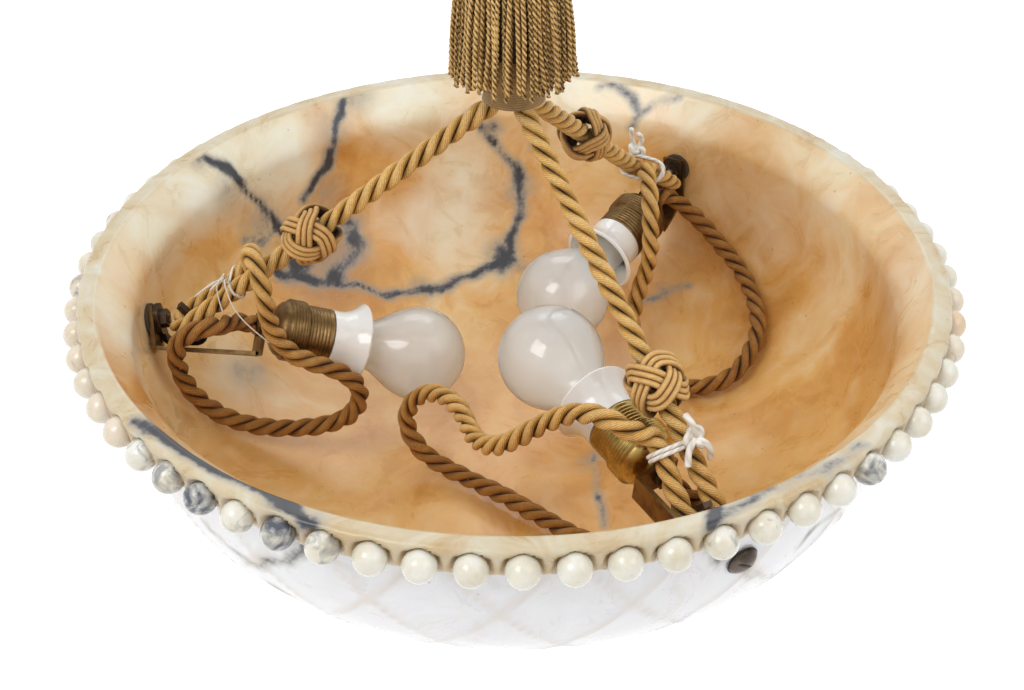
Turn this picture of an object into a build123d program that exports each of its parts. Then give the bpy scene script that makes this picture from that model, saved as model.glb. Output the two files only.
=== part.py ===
from build123d import *
from math import atan2, cos, pi, radians, sin, sqrt, tan
import os

os.makedirs("parts", exist_ok=True)

# Alabaster bowl pendant: a carved stone bowl slung by three ropes that meet under a tassel.
# Millimetres, +Z up.  The origin is where the ceiling hook bears in the top of the hanging ring.
# Heights named here are measured from the plane of the bowl's lip, and level() moves them into
# the frame of the part.  Each of the three stations round the bowl has a bolt, a hook, a lamp
# bracket, a lampholder with its bulb, a rope and a sliding knot.

# ---- bowl ---------------------------------------------------------------------------------
lip_radius = 250.0
lip_land = 10.5
lip_edge = 3.0
fascia_radius = 246.0
fascia_height = 21.0
fascia_chamfer = 2.5
body_radius = 234.5
body_top = 18.75
bowl_depth = 162.75
bowl_wall = 12.0
body_power = 2.552
body_root = 2.978
flare_depth = 26.0
bead_radius = 8.3
bead_circle = 250.6
bead_height = 11.6
bead_count = 66
bead_start = 210.71

# ---- stations -----------------------------------------------------------------------------
station_angles = {"front": -61.2, "rear": 58.8, "left": 178.8}
bolt_depth = 49.4
bolt_tilt = 7.9
bolt_radius = 3.0
bolt_hole_clearance = 0.3
bolt_head_radius = 7.75
bolt_head_height = 4.2
bolt_slot_width = 1.6
bolt_slot_depth = 1.4
bolt_slot_turn = 35.0
bolt_bulge_radius = 4.3
bolt_bulge_height = 3.3
spot_face_radius = 8.6
spot_face_depth = 1.2
bolt_end_stand = 0.6
nut_across_flats = 10.0
nut_thickness = 4.0
pad_radius = 10.0
pad_thickness = 2.5
pad_recess_radius = 10.8
seat_gap = 0.12
thread_gap = 0.06

# ---- hook ---------------------------------------------------------------------------------
hook_thickness = 3.0
hook_width = 5.2
hook_bearing = 2.0
hook_tab_width = 13.0
hook_tab_above = 9.0
hook_floor_depth = 63.5
hook_tip_reach = 10.0
hook_knee_radius = 4.0
hook_curl_radius = 6.8

# ---- rope ---------------------------------------------------------------------------------
rope_radius = 5.8
rope_bend_radius = 9.0
rope_hook_gap = 0.2
sling_radius = 195.0
sling_depth = 44.4
sling_half_spread = 9.2
tail_rise = 14.0
apex_radius = 7.4
apex_height = 101.6
rope_top_height = 150.0
emerge_bend_radius = 16.0

# ---- lamp bracket -------------------------------------------------------------------------
strap_width = 16.0
strap_thickness = 2.5
strap_end_margin = 8.0
end_tab_back = 4.2

# ---- lampholder, measured along its axis from the face of its dome --------------------------
nipple_radius = 5.0
nipple_back = 7.2
nipple_front = 9.0
nipple_wall = 1.5
locknut_flats = 13.0
locknut_thickness = 2.6
collar_radius = 7.6
dome_start = 3.0
dome_end = 17.5
dome_radius = 18.4
dome_wall = 1.2
rib_ring_end = 27.0
rib_ring_radius = 19.0
skirt_end = 38.5
skirt_radius = 17.0
skirt_wall = 1.0
core_radius = 15.4
core_start = 12.0
core_end = 22.0
shell_inner_radius = 13.6
shell_wall = 0.6
shell_end = 36.5
rib_count = 5
rib_depth = 0.6

# ---- porcelain shade ring -----------------------------------------------------------------
sleeve_start = 29.0
sleeve_inner = 14.6
sleeve_outer = 15.7
ring_neck_start = 39.0
ring_neck_radius = 17.4
ring_lip_radius = 24.5
ring_lip_end = 60.5
ring_wall = 3.0
ring_straight = 5.0

# ---- bulb ---------------------------------------------------------------------------------
bulb_radius = 30.0
bulb_center = 100.5
bulb_neck_radius = 13.2
bulb_neck_start = 49.0
bulb_waist = (15.6, 67.0)
bulb_shell = 1.0
cap_radius = 13.2
cap_tip = 22.3
cap_taper_end = 27.0
cap_tip_radius = 5.0
cap_insulator_radius = 9.0

# ---- knots and string ties ----------------------------------------------------------------
knot_radius = 16.5
knot_length = 28.0
knot_end_radius = 9.5
knot_bore_gap = 0.35
tie_length = 5.0
tie_thickness = 1.6
tie_gap = 0.45
tie_knot_radius = 3.6
tie_spread = 12.7
tie_slack = 3.0
tie_clear = 9.0

# ---- tassel and suspension ----------------------------------------------------------------
binding_bottom = 102.5
binding_top = 129.0
binding_thickness = 1.3
binding_flare_top = 110.0
binding_flare = 2.4
ferrule_bottom = 130.0
ferrule_top = 164.0
ferrule_wall = 2.0
ferrule_plate = 4.0
bundle_gap = 0.5
rod_radius = 3.0
rod_bottom = 153.0
rod_nut_thickness = 5.0
rod_nut_flats = 10.0
block_height = 13.0
block_radius = 14.0
wire_hole_radius = 2.4
wire_hole_circle = 8.9
mould_bottom = 174.0
mould_belly = 190.0
mould_top = 221.0
mould_rim_radius = 25.2
mould_belly_radius = 31.0
mould_neck_radius = 9.0
mould_cavity_radius = 17.0
mould_web_height = 183.0
fringe_top = 181.0
fringe_band = 7.0
fringe_cord_radius = 1.45
fringe_top_radius = 27.2
fringe_end_radius = 33.0
fringe_end_height = 118.0
fringe_count = 52
fringe_inner_count = 40
fringe_inner_step = 3.6
eye_height = 240.0
eye_hole_radius = 6.0
eye_wire_radius = 3.4
eye_collar_radius = 6.75
eye_collar_height = 3.0
ring_mean_radius = 18.0
ring_wire_radius = 3.0
ring_gap = 0.3

# The rope routes: after the tie, from the hook round to the back of the lampholder.
# Points are (x, y, z) with z measured from the plane of the lip.
slack_routes = {
    "left": [
        (-156, 5, -1), (-152, -7, 7), (-147, -20, 2), (-144, -25, -12), (-144, -23, -29), (-141, -19, -45),
        (-133, -17, -59), (-120, -15, -67), (-106, -13, -74), (-95, -12, -85), (-95, -11, -100),
        (-104, -11, -112), (-119, -11, -118), (-135, -11, -120), (-151, -12, -119), (-166, -13, -115),
        (-180, -14, -108), (-191, -16, -96), (-199, -17, -82), (-202, -19, -66), (-201, -22, -49),
        (-192, -22, -39), (-181, -20, -36), (-173, -12, -41),
    ],
    "front": [
        (59, -152, -10), (46, -146, -5), (33, -135, -10), (22, -126, -21), (11, -119, -33), (1, -114, -45),
        (-9, -107, -56), (-18, -96, -64), (-24, -82, -69), (-28, -66, -71), (-33, -51, -72),
        (-41, -37, -75), (-50, -25, -81), (-60, -17, -91), (-67, -13, -105), (-67, -13, -120),
        (-59, -18, -133), (-46, -25, -139), (-32, -33, -141), (-19, -43, -141), (-6, -53, -140),
        (6, -64, -140), (18, -75, -139), (30, -86, -139), (42, -96, -137), (55, -106, -133),
        (67, -116, -128), (77, -125, -121), (86, -134, -111), (94, -141, -99), (100, -146, -86),
        (103, -151, -71), (99, -155, -56),
    ],
    "rear": [
        (88, 122, -18), (89, 108, -25), (89, 99, -38), (90, 96, -54), (89, 96, -70), (85, 97, -85),
        (81, 95, -101), (79, 89, -115), (83, 78, -126), (90, 65, -133), (101, 54, -135), (115, 46, -134),
        (130, 43, -129), (144, 46, -123), (154, 56, -115), (161, 69, -108), (163, 83, -102), (161, 99, -96),
        (157, 114, -91), (151, 127, -86), (142, 139, -80), (133, 148, -72), (123, 152, -63),
        (115, 153, -56),
    ],
}
# Where each lampholder's dome face stands (radius, sideways, height from the lip), where its
# axis points (yaw towards +sideways, pitch upwards), which way its bracket's arm is offset
# from the bolt (sideways, up) and by how much, the knot's and the tie's distance from the hook.
stations = {
    "front": dict(face=(161, -2, -44), yaw=-5, pitch=7.7, arm=(-1, 0), arm_offset=17.8, knot=68, tie=33,
                  exit_run=12.5, exit_bend=12),
    "rear": dict(face=(167, -6, -50), yaw=6.5, pitch=-11.5, arm=(-0.1, -1), arm_offset=20, knot=131, tie=37,
                 exit_run=9.8, exit_bend=9.3),
    "left": dict(face=(151, -3, -54), yaw=-16, pitch=-22.5, arm=(0.585, -0.81), arm_offset=17.6, knot=99, tie=40,
                 exit_run=12.5, exit_bend=12),
}

# ---- heights in the part's own frame --------------------------------------------------------
wire_height = eye_height + eye_hole_radius - ring_wire_radius - ring_gap
hang_height = wire_height + 2 * ring_mean_radius - ring_wire_radius
lip_z = -hang_height


def level(height):
    return lip_z + height


def point(x, y, height):
    return Vector(x, y, level(height))


def wall_point(share, inset):
    # A point of the bowl's side, share of the way down its body and inset from its outside.
    if share >= 1:
        return (0, level(inset - bowl_depth))
    drop = bowl_depth - body_top
    left = 1 - share ** body_power
    slope_r = -body_radius * body_power / body_root * share ** (body_power - 1) * left ** (1 / body_root - 1)
    length = sqrt(slope_r**2 + drop**2)
    r = body_radius * left ** (1 / body_root)
    return (r - inset * drop / length, level(-body_top - share * drop) - inset * slope_r / length)


body_shares = (0.25, 0.5, 0.7, 0.85, 0.94, 0.985)


def station_frame(angle):
    # The bolt's seat on the inside of the wall: x sideways round the bowl, z inwards.
    share = (bolt_depth - body_top) / (bowl_depth - body_top)
    r, z = wall_point(share, bowl_wall)
    a = radians(angle)
    tilt = radians(bolt_tilt)
    inward = Vector(-cos(a) * cos(tilt), -sin(a) * cos(tilt), sin(tilt))
    return Plane(origin=(r * cos(a), r * sin(a), z), x_dir=(-sin(a), cos(a), 0), z_dir=inward)


def radial_plane(angle):
    # Upright plane through the bowl's axis and a station: x outwards, y up.
    a = radians(angle)
    return Plane(origin=(0, 0, level(0)), x_dir=(cos(a), sin(a), 0), z_dir=(sin(a), -cos(a), 0))


def shifted(plane, inward):
    return Plane(origin=plane.origin + plane.z_dir * inward, x_dir=plane.x_dir, z_dir=plane.z_dir)


seats = {name: station_frame(angle) for name, angle in station_angles.items()}
hook_seat = pad_thickness + strap_thickness
nut_seat = hook_seat + hook_thickness
bolt_end = nut_seat + nut_thickness + bolt_end_stand

# ---- bowl: one block of alabaster, turned and carved, with its row of beads -----------------
with BuildPart() as alabaster_bowl:
    with BuildSketch(Plane.XZ):
        with BuildLine():
            inner_lip = (lip_radius - lip_land, level(0))
            edge_start = (lip_radius - lip_edge, level(0))
            edge_end = (lip_radius, level(-lip_edge))
            under_edge = (fascia_radius, level(-lip_edge - (lip_radius - fascia_radius)))
            fascia_foot = (fascia_radius, level(-fascia_height + fascia_chamfer))
            fascia_under = (fascia_radius - fascia_chamfer, level(-fascia_height))
            body_start = (body_radius, level(-fascia_height))
            body_end = wall_point(1, 0)
            floor_end = wall_point(1, bowl_wall)
            flare_start = (body_radius - bowl_wall, level(-flare_depth))
            Line(inner_lip, edge_start)
            RadiusArc(edge_start, edge_end, lip_edge)
            Polyline(edge_end, under_edge, fascia_foot, fascia_under, body_start)
            Spline(body_start, *[wall_point(s, 0) for s in body_shares], body_end, tangents=[(0, -1), (-1, 0)])
            Line(body_end, floor_end)
            inside = [wall_point(s, bowl_wall) for s in reversed(body_shares)]
            Spline(floor_end, *inside, flare_start, tangents=[(1, 0), (0, 1)])
            Spline(flare_start, inner_lip, tangents=[(0, 1), (1, 1.4)])
        make_face()
    revolve(axis=Axis.Z)
    with Locations(Plane.XY.offset(level(-bead_height))):
        with PolarLocations(bead_circle, bead_count, start_angle=bead_start):
            Sphere(bead_radius)
    for seat in seats.values():
        with BuildSketch(seat):
            Circle(bolt_radius + bolt_hole_clearance)
        extrude(amount=bowl_wall * 2, both=True, mode=Mode.SUBTRACT)
        with BuildSketch(seat):
            Circle(pad_recess_radius)
        extrude(amount=bowl_wall, mode=Mode.SUBTRACT)
        with BuildSketch(shifted(seat, spot_face_depth - bowl_wall)):
            Circle(spot_face_radius)
        extrude(amount=-bowl_wall, mode=Mode.SUBTRACT)
alabaster_bowl.part.label = "alabaster_bowl"
export_step(alabaster_bowl.part, "parts/alabaster_bowl.step")



# ---- wall bolts, pads and nuts: one of each at every station --------------------------------
with BuildPart() as wall_bolts:
    for seat in seats.values():
        head_seat = shifted(seat, spot_face_depth - bowl_wall)
        with BuildSketch(Plane(origin=seat.origin, x_dir=seat.z_dir, z_dir=seat.y_dir)):
            with BuildLine():
                seat_depth = spot_face_depth - bowl_wall
                rim = (seat_depth, bolt_head_radius)
                bulge = (seat_depth - bolt_bulge_height, bolt_bulge_radius)
                crown = (seat_depth - bolt_head_height, 0)
                Line((seat_depth, 0), rim)
                ThreePointArc(rim, bulge, crown)
                Line(crown, (seat_depth, 0))
            make_face()
        revolve(axis=Axis(seat.origin, seat.z_dir))
        with BuildSketch(head_seat):
            Circle(bolt_radius)
        extrude(amount=bowl_wall - spot_face_depth + bolt_end)
        slot_plane = shifted(seat, spot_face_depth - bowl_wall - bolt_head_height)
        with BuildSketch(slot_plane):
            Rectangle(bolt_head_radius * 3, bolt_slot_width, rotation=bolt_slot_turn)
        extrude(amount=bolt_slot_depth, both=True, mode=Mode.SUBTRACT)
wall_bolts.part.label = "wall_bolts"
export_step(wall_bolts.part, "parts/wall_bolts.step")

with BuildPart() as wall_pads:
    for seat in seats.values():
        with BuildSketch(shifted(seat, seat_gap)):
            Circle(pad_radius)
            Circle(bolt_radius + bolt_hole_clearance, mode=Mode.SUBTRACT)
        extrude(amount=pad_thickness - 2 * seat_gap)
wall_pads.part.label = "wall_pads"
export_step(wall_pads.part, "parts/wall_pads.step")

with BuildPart() as bolt_nuts:
    for seat in seats.values():
        with BuildSketch(shifted(seat, nut_seat)):
            RegularPolygon(nut_across_flats / 2, 6, major_radius=False)
            Circle(bolt_radius + thread_gap, mode=Mode.SUBTRACT)
        extrude(amount=nut_thickness)
bolt_nuts.part.label = "bolt_nuts"
export_step(bolt_nuts.part, "parts/bolt_nuts.step")


# ---- the ropes' line from the tassel down to the hooks ---------------------------------------
sling_angle = atan2(apex_height + sling_depth, sling_radius - apex_radius)
pull = (-cos(sling_angle), sin(sling_angle))
rise = (sin(sling_angle), cos(sling_angle))


def hook_points(angle):
    # Mid-line of the hook's strip in the station's upright plane: (radius, height).
    seat = station_frame(angle)
    tilt = radians(bolt_tilt)
    seat_r = sqrt(seat.origin.X**2 + seat.origin.Y**2) - cos(tilt) * (hook_seat + hook_thickness / 2)
    seat_z = seat.origin.Z - lip_z + sin(tilt) * (hook_seat + hook_thickness / 2)
    up_r, up_z = sin(tilt), cos(tilt)
    top = (seat_r + up_r * hook_tab_above, seat_z + up_z * hook_tab_above)
    fall = (seat_z + hook_floor_depth) / up_z
    heel = (seat_r - up_r * fall, -hook_floor_depth)
    leg_shift = hook_bearing - hook_thickness / 2
    leg = (sling_radius - pull[0] * leg_shift, -sling_depth - pull[1] * leg_shift)
    climb = (leg[1] + hook_floor_depth) / rise[1]
    curl = (leg[0] - rise[0] * climb, -hook_floor_depth)
    tip = (leg[0] + rise[0] * hook_tip_reach, leg[1] + rise[1] * hook_tip_reach)
    return top, heel, curl, tip


def sling_frame(angle):
    # The rope's way round the hook: where it is tangent, which way it is pulled, and sideways.
    a = radians(angle)
    out = Vector(cos(a), sin(a), 0)
    side = Vector(-sin(a), cos(a), 0)
    start = out * apex_radius + Vector(0, 0, level(apex_height))
    end = out * sling_radius + side * sling_half_spread + Vector(0, 0, level(-sling_depth))
    towards = (start - end).normalized()
    lift = towards.cross(side)
    if lift.Z < 0:
        lift = -lift
    lift = lift.normalized()
    across = lift.cross(towards).normalized()
    if across.dot(side) < 0:
        across = -across
    return start, end, towards, lift, across


def rope_route(name):
    angle = station_angles[name]
    station = stations[name]
    a = radians(angle)
    out = Vector(cos(a), sin(a), 0)
    start, end, towards, lift, across = sling_frame(angle)
    top = out * apex_radius + Vector(0, 0, level(rope_top_height))
    near = end - towards * (rope_bend_radius + rope_hook_gap)
    far = near - across * (2 * sling_half_spread)
    tail = end + towards * tail_rise - across * (2 * sling_half_spread)
    tie = end + towards * (station["tie"] + tie_clear) - across * tie_spread
    axis_point, axis_dir = holder_axis(name)
    back = axis_point - axis_dir * (nipple_back + seat_gap)
    approach = back - axis_dir * station["exit_run"]
    slack = [point(*p) for p in slack_routes[name]]
    return [top, start, near, far, tail, tie, *slack, approach, back]


def holder_axis(name):
    angle = radians(station_angles[name])
    station = stations[name]
    out = Vector(cos(angle), sin(angle), 0)
    side = Vector(-sin(angle), cos(angle), 0)
    r, t, z = station["face"]
    yaw, pitch = radians(station["yaw"]), radians(station["pitch"])
    face = out * r + side * t + Vector(0, 0, level(z))
    direction = (side * sin(yaw) - out * cos(yaw)) * cos(pitch) + Vector(0, 0, sin(pitch))
    return face, direction.normalized()


def bend_radii(route, fixed):
    # Each arc as large as its two runs allow, apart from those round a thing of known size.
    radii = []
    for i in range(1, len(route) - 1):
        before, after = route[i] - route[i - 1], route[i + 1] - route[i]
        half_turn = radians(before.get_angle(after)) / 2
        run = min(before.length, after.length)
        radii.append(fixed.get(i, 0.45 * run / tan(half_turn)))
    return radii


# ---- per station ---------------------------------------------------------------------------
for name, angle in station_angles.items():
    seat = seats[name]
    station = stations[name]
    upright = radial_plane(angle)

    # Hook: forged strip, a flat tab under the nut and a curl that holds the rope's bight.
    top, heel, curl, tip = hook_points(angle)
    with BuildPart() as wall_hook:
        with BuildSketch(upright):
            with BuildLine():
                path = FilletPolyline(top, heel, curl, tip, radius=[hook_knee_radius, hook_curl_radius])
            trace(line_width=hook_thickness)
        extrude(amount=hook_width / 2, both=True)
        with BuildSketch(shifted(seat, hook_seat)):
            RectangleRounded(hook_tab_width, 2 * hook_tab_above, hook_tab_width * 0.3)
        extrude(amount=hook_thickness)
        with BuildSketch(seat):
            Circle(bolt_radius + bolt_hole_clearance)
        extrude(amount=bowl_wall, mode=Mode.SUBTRACT)
    wall_hook.part.label = f"wall_hook_{name}"
    export_step(wall_hook.part, f"parts/wall_hook_{name}.step")

    # Lamp bracket: a strap bent twice, its one tab under the hook, its other behind the holder.
    face, ahead = holder_axis(name)
    arm_side = (seat.x_dir * station["arm"][0] + Vector(0, 0, 1) * station["arm"][1]).normalized()
    seat_side = (arm_side - seat.z_dir * arm_side.dot(seat.z_dir)).normalized()
    end_side = (arm_side - ahead * arm_side.dot(ahead)).normalized()
    offset = station["arm_offset"]
    seat_tab = Plane(
        origin=seat.origin + seat.z_dir * pad_thickness, x_dir=seat_side, z_dir=seat.z_dir
    )
    end_tab = Plane(origin=face - ahead * end_tab_back, x_dir=end_side, z_dir=ahead)
    half = strap_thickness / 2
    knee = seat_tab.origin + seat_side * offset + seat.z_dir * half
    elbow = end_tab.origin + end_side * offset + ahead * half
    along = (elbow - knee).normalized()
    knee_plane = Plane(origin=knee, x_dir=seat_side - along * seat_side.dot(along), z_dir=along)
    elbow_plane = Plane(origin=elbow, x_dir=end_side - along * end_side.dot(along), z_dir=along)
    with BuildPart() as lamp_bracket:
        with BuildSketch(seat_tab):
            with Locations(((offset - strap_end_margin) / 2, 0)):
                Rectangle(offset + strap_end_margin, strap_width)
        extrude(amount=strap_thickness)
        with BuildSketch(end_tab):
            with Locations(((offset - strap_end_margin) / 2, 0)):
                Rectangle(offset + strap_end_margin, strap_width)
        extrude(amount=strap_thickness)
        with BuildSketch(knee_plane):
            Rectangle(strap_thickness, strap_width)
        with BuildSketch(elbow_plane):
            Rectangle(strap_thickness, strap_width)
        loft(ruled=True)
        for corner, width_dir in ((knee, seat_tab.y_dir), (elbow, end_tab.y_dir)):
            with BuildSketch(Plane(origin=corner, z_dir=width_dir)):
                Circle(half)
            extrude(amount=strap_width / 2, both=True)
        with BuildSketch(seat_tab):
            Circle(bolt_radius + bolt_hole_clearance)
        extrude(amount=strap_thickness, mode=Mode.SUBTRACT)
        with BuildSketch(end_tab):
            Circle(nipple_radius + thread_gap)
        extrude(amount=strap_thickness, mode=Mode.SUBTRACT)
    lamp_bracket.part.label = f"lamp_bracket_{name}"
    export_step(lamp_bracket.part, f"parts/lamp_bracket_{name}.step")

    # Lampholder: nipple and locknut, domed cap, ribbed shell, porcelain core, screw shell.
    axis = Axis(face, ahead)
    flat = Plane(origin=face, z_dir=ahead)
    profile = Plane(origin=face, x_dir=flat.x_dir, z_dir=flat.x_dir.cross(ahead))
    with BuildPart() as holder_nipple:
        with BuildSketch(shifted(flat, -nipple_back)):
            Circle(nipple_radius)
            Circle(nipple_radius - nipple_wall, mode=Mode.SUBTRACT)
        extrude(amount=nipple_back + nipple_front)
        with BuildSketch(shifted(flat, -end_tab_back - locknut_thickness)):
            RegularPolygon(locknut_flats / 2, 6, major_radius=False)
            Circle(nipple_radius - 0.5, mode=Mode.SUBTRACT)
        extrude(amount=locknut_thickness)
    holder_nipple.part.label = f"holder_nipple_{name}"
    export_step(holder_nipple.part, f"parts/holder_nipple_{name}.step")

    with BuildPart() as holder_dome:
        with BuildSketch(profile):
            with BuildLine():
                back = strap_thickness - end_tab_back
                Polyline(
                    (nipple_radius + thread_gap, back), (collar_radius, back), (collar_radius, dome_start)
                )
                shoulder = (dome_radius, dome_end - 3)
                RadiusArc((collar_radius, dome_start), shoulder, -dome_radius)
                Polyline(
                    shoulder, (dome_radius, dome_end), (dome_radius - dome_wall, dome_end),
                    (dome_radius - dome_wall, dome_end - 3),
                )
                RadiusArc(
                    (dome_radius - dome_wall, dome_end - 3),
                    (collar_radius, dome_start + dome_wall),
                    dome_radius - dome_wall,
                )
                Polyline(
                    (collar_radius, dome_start + dome_wall),
                    (nipple_radius + thread_gap, dome_start + dome_wall),
                    (nipple_radius + thread_gap, back),
                )
            make_face()
        revolve(axis=axis)
    holder_dome.part.label = f"holder_dome_{name}"
    export_step(holder_dome.part, f"parts/holder_dome_{name}.step")

    with BuildPart() as holder_shell:
        with BuildSketch(profile):
            with BuildLine():
                inner = skirt_radius - skirt_wall
                ring_start = dome_end + seat_gap
                rib = (skirt_end - rib_ring_end) / rib_count
                outside = [(rib_ring_radius, ring_start), (rib_ring_radius, rib_ring_end)]
                for i in range(rib_count):
                    base = rib_ring_end + i * rib
                    outside.append((skirt_radius - rib_depth, base + 0.1))
                    outside.append((skirt_radius, base + rib * 0.35))
                    outside.append((skirt_radius, base + rib * 0.9))
                outside.append((skirt_radius - rib_depth, skirt_end))
                Polyline(*outside, (inner, skirt_end), (inner, ring_start), outside[0])
            make_face()
        revolve(axis=axis)
    holder_shell.part.label = f"holder_shell_{name}"
    export_step(holder_shell.part, f"parts/holder_shell_{name}.step")

    with BuildPart() as holder_core:
        with BuildSketch(shifted(flat, core_start)):
            Circle(core_radius)
            Circle(nipple_radius * 0.6, mode=Mode.SUBTRACT)
        extrude(amount=core_end - core_start)
        with BuildSketch(shifted(flat, core_end)):
            Circle(shell_inner_radius + shell_wall)
            Circle(shell_inner_radius, mode=Mode.SUBTRACT)
        extrude(amount=shell_end - core_end)
    holder_core.part.label = f"holder_core_{name}"
    export_step(holder_core.part, f"parts/holder_core_{name}.step")

    # Porcelain ring that screws into the shell and would hold a glass shade.
    with BuildPart() as shade_ring:
        with BuildSketch(profile):
            with BuildLine():
                lip_mid = ring_lip_radius - ring_wall / 2
                Polyline(
                    (sleeve_inner, sleeve_start), (sleeve_outer, sleeve_start),
                    (sleeve_outer, ring_neck_start), (ring_neck_radius, ring_neck_start),
                    (ring_neck_radius, ring_neck_start + ring_straight),
                )
                Spline(
                    (ring_neck_radius, ring_neck_start + ring_straight), (ring_lip_radius, ring_lip_end - ring_wall / 2),
                    tangents=[(0, 1), (1, 1.1)],
                )
                RadiusArc(
                    (ring_lip_radius, ring_lip_end - ring_wall / 2),
                    (ring_lip_radius - ring_wall, ring_lip_end - ring_wall / 2), -ring_wall / 2,
                )
                Spline(
                    (ring_lip_radius - ring_wall, ring_lip_end - ring_wall / 2),
                    (sleeve_inner, ring_neck_start + ring_straight), tangents=[(-1, -1.1), (0, -1)],
                )
                Line((sleeve_inner, ring_neck_start + ring_straight), (sleeve_inner, sleeve_start))
            make_face()
        revolve(axis=axis)
    shade_ring.part.label = f"shade_ring_{name}"
    export_step(shade_ring.part, f"parts/shade_ring_{name}.step")

    # Bulb: blown envelope of frosted glass, and its screw cap with the centre contact.
    with BuildPart() as bulb_glass:
        with BuildSketch(profile):
            with BuildLine():
                neck = (bulb_neck_radius, bulb_neck_start)
                join_angle = radians(18)
                join = (bulb_radius * cos(join_angle), bulb_center - bulb_radius * sin(join_angle))
                crown = (0, bulb_center + bulb_radius)
                wall = bulb_shell
                inner_radius = bulb_radius - wall
                inner_join = (inner_radius * cos(join_angle), bulb_center - inner_radius * sin(join_angle))
                inner_crown = (0, bulb_center + inner_radius)
                tangent = (sin(join_angle), cos(join_angle))
                Spline(neck, bulb_waist, join, tangents=[(0, 1), tangent])
                RadiusArc(join, crown, -bulb_radius)
                Line(crown, inner_crown)
                RadiusArc(inner_crown, inner_join, inner_radius)
                Spline(
                    inner_join, (bulb_waist[0] - wall, bulb_waist[1]), (bulb_neck_radius - wall, bulb_neck_start),
                    tangents=[(-tangent[0], -tangent[1]), (0, -1)],
                )
                Line((bulb_neck_radius - wall, bulb_neck_start), neck)
            make_face()
        revolve(axis=axis)
    bulb_glass.part.label = f"bulb_glass_{name}"
    export_step(bulb_glass.part, f"parts/bulb_glass_{name}.step")

    with BuildPart() as bulb_cap:
        with BuildSketch(profile):
            with BuildLine():
                Polyline(
                    (0, cap_tip), (cap_tip_radius, cap_tip), (cap_insulator_radius, cap_taper_end - 1.5),
                    (cap_radius - 0.6, cap_taper_end), (cap_radius, cap_taper_end + 1),
                    (cap_radius, bulb_neck_start), (0, bulb_neck_start), (0, cap_tip),
                )
            make_face()
        revolve(axis=axis)
    bulb_cap.part.label = f"bulb_cap_{name}"
    export_step(bulb_cap.part, f"parts/bulb_cap_{name}.step")

    # Rope: three-strand, round the lamp's flex, from the tassel round the hook to the holder.
    route = rope_route(name)
    bends = {1: emerge_bend_radius, 2: rope_bend_radius, 3: rope_bend_radius}
    bends[len(route) - 2] = station["exit_bend"]
    radii = bend_radii(route, bends)
    with BuildPart() as rope:
        with BuildLine() as rope_line:
            FilletPolyline(*route, radius=radii)
        with BuildSketch(Plane(origin=route[0], z_dir=route[1] - route[0])):
            Circle(rope_radius)
        sweep()
    length = sum(edge.length for edge in rope_line.edges())
    share = rope.part.volume / (pi * rope_radius**2 * length)
    print(f"rope_{name}: length {length:.0f}, volume over section times length {share:.4f}, radii",
          " ".join(f"{r:.0f}" for r in radii))
    rope.part.label = f"rope_{name}"
    export_step(rope.part, f"parts/rope_{name}.step")

    # Sliding knot: a woven ball of cane-stiff cord round the rope.
    start, end, towards, lift, across = sling_frame(angle)
    knot_center = end + towards * station["knot"]
    knot_plane = Plane(origin=knot_center, x_dir=across, z_dir=across.cross(towards))
    bore = rope_radius + knot_bore_gap
    half_length = knot_length / 2
    with BuildPart() as rope_knot:
        with BuildSketch(knot_plane):
            with BuildLine():
                Line((bore, -half_length), (knot_end_radius, -half_length))
                Spline(
                    (knot_end_radius, -half_length), (knot_radius, 0), (knot_end_radius, half_length),
                    tangents=[(1, 0.25), (-1, 0.25)],
                )
                Polyline((knot_end_radius, half_length), (bore, half_length), (bore, -half_length))
            make_face()
        revolve(axis=Axis(knot_center, towards))
    rope_knot.part.label = f"rope_knot_{name}"
    export_step(rope_knot.part, f"parts/rope_knot_{name}.step")

    # String tie: a few turns of white string round both parts of the rope, with its knot.
    tie_center = end + towards * station["tie"]
    spread = tie_spread + tie_slack
    tie_plane = Plane(origin=tie_center - across * (spread / 2) - towards * (tie_length / 2),
                      x_dir=across, z_dir=towards)
    with BuildPart() as string_tie:
        with BuildSketch(tie_plane):
            SlotCenterToCenter(spread, 2 * (rope_radius + tie_gap + tie_thickness))
            SlotCenterToCenter(spread, 2 * (rope_radius + tie_gap), mode=Mode.SUBTRACT)
        extrude(amount=tie_length)
        with Locations(tie_center + lift * (rope_radius + tie_gap + tie_knot_radius)):
            Sphere(tie_knot_radius)
    string_tie.part.label = f"string_tie_{name}"
    export_step(string_tie.part, f"parts/string_tie_{name}.step")

# ---- tassel ----------------------------------------------------------------------------------
bundle_radius = apex_radius + rope_radius
with BuildPart() as rope_binding:
    with BuildSketch(Plane.XZ):
        with BuildLine():
            bore = bundle_radius + bundle_gap
            Polyline(
                (bore, level(binding_top)), (bore, level(binding_flare_top)),
                (bore + binding_flare, level(binding_bottom)),
                (bore + binding_flare + binding_thickness, level(binding_bottom)),
                (bore + binding_thickness, level(binding_flare_top)),
                (bore + binding_thickness, level(binding_top)), (bore, level(binding_top)),
            )
        make_face()
    revolve(axis=Axis.Z)
rope_binding.part.label = "rope_binding"
export_step(rope_binding.part, "parts/rope_binding.step")

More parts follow.
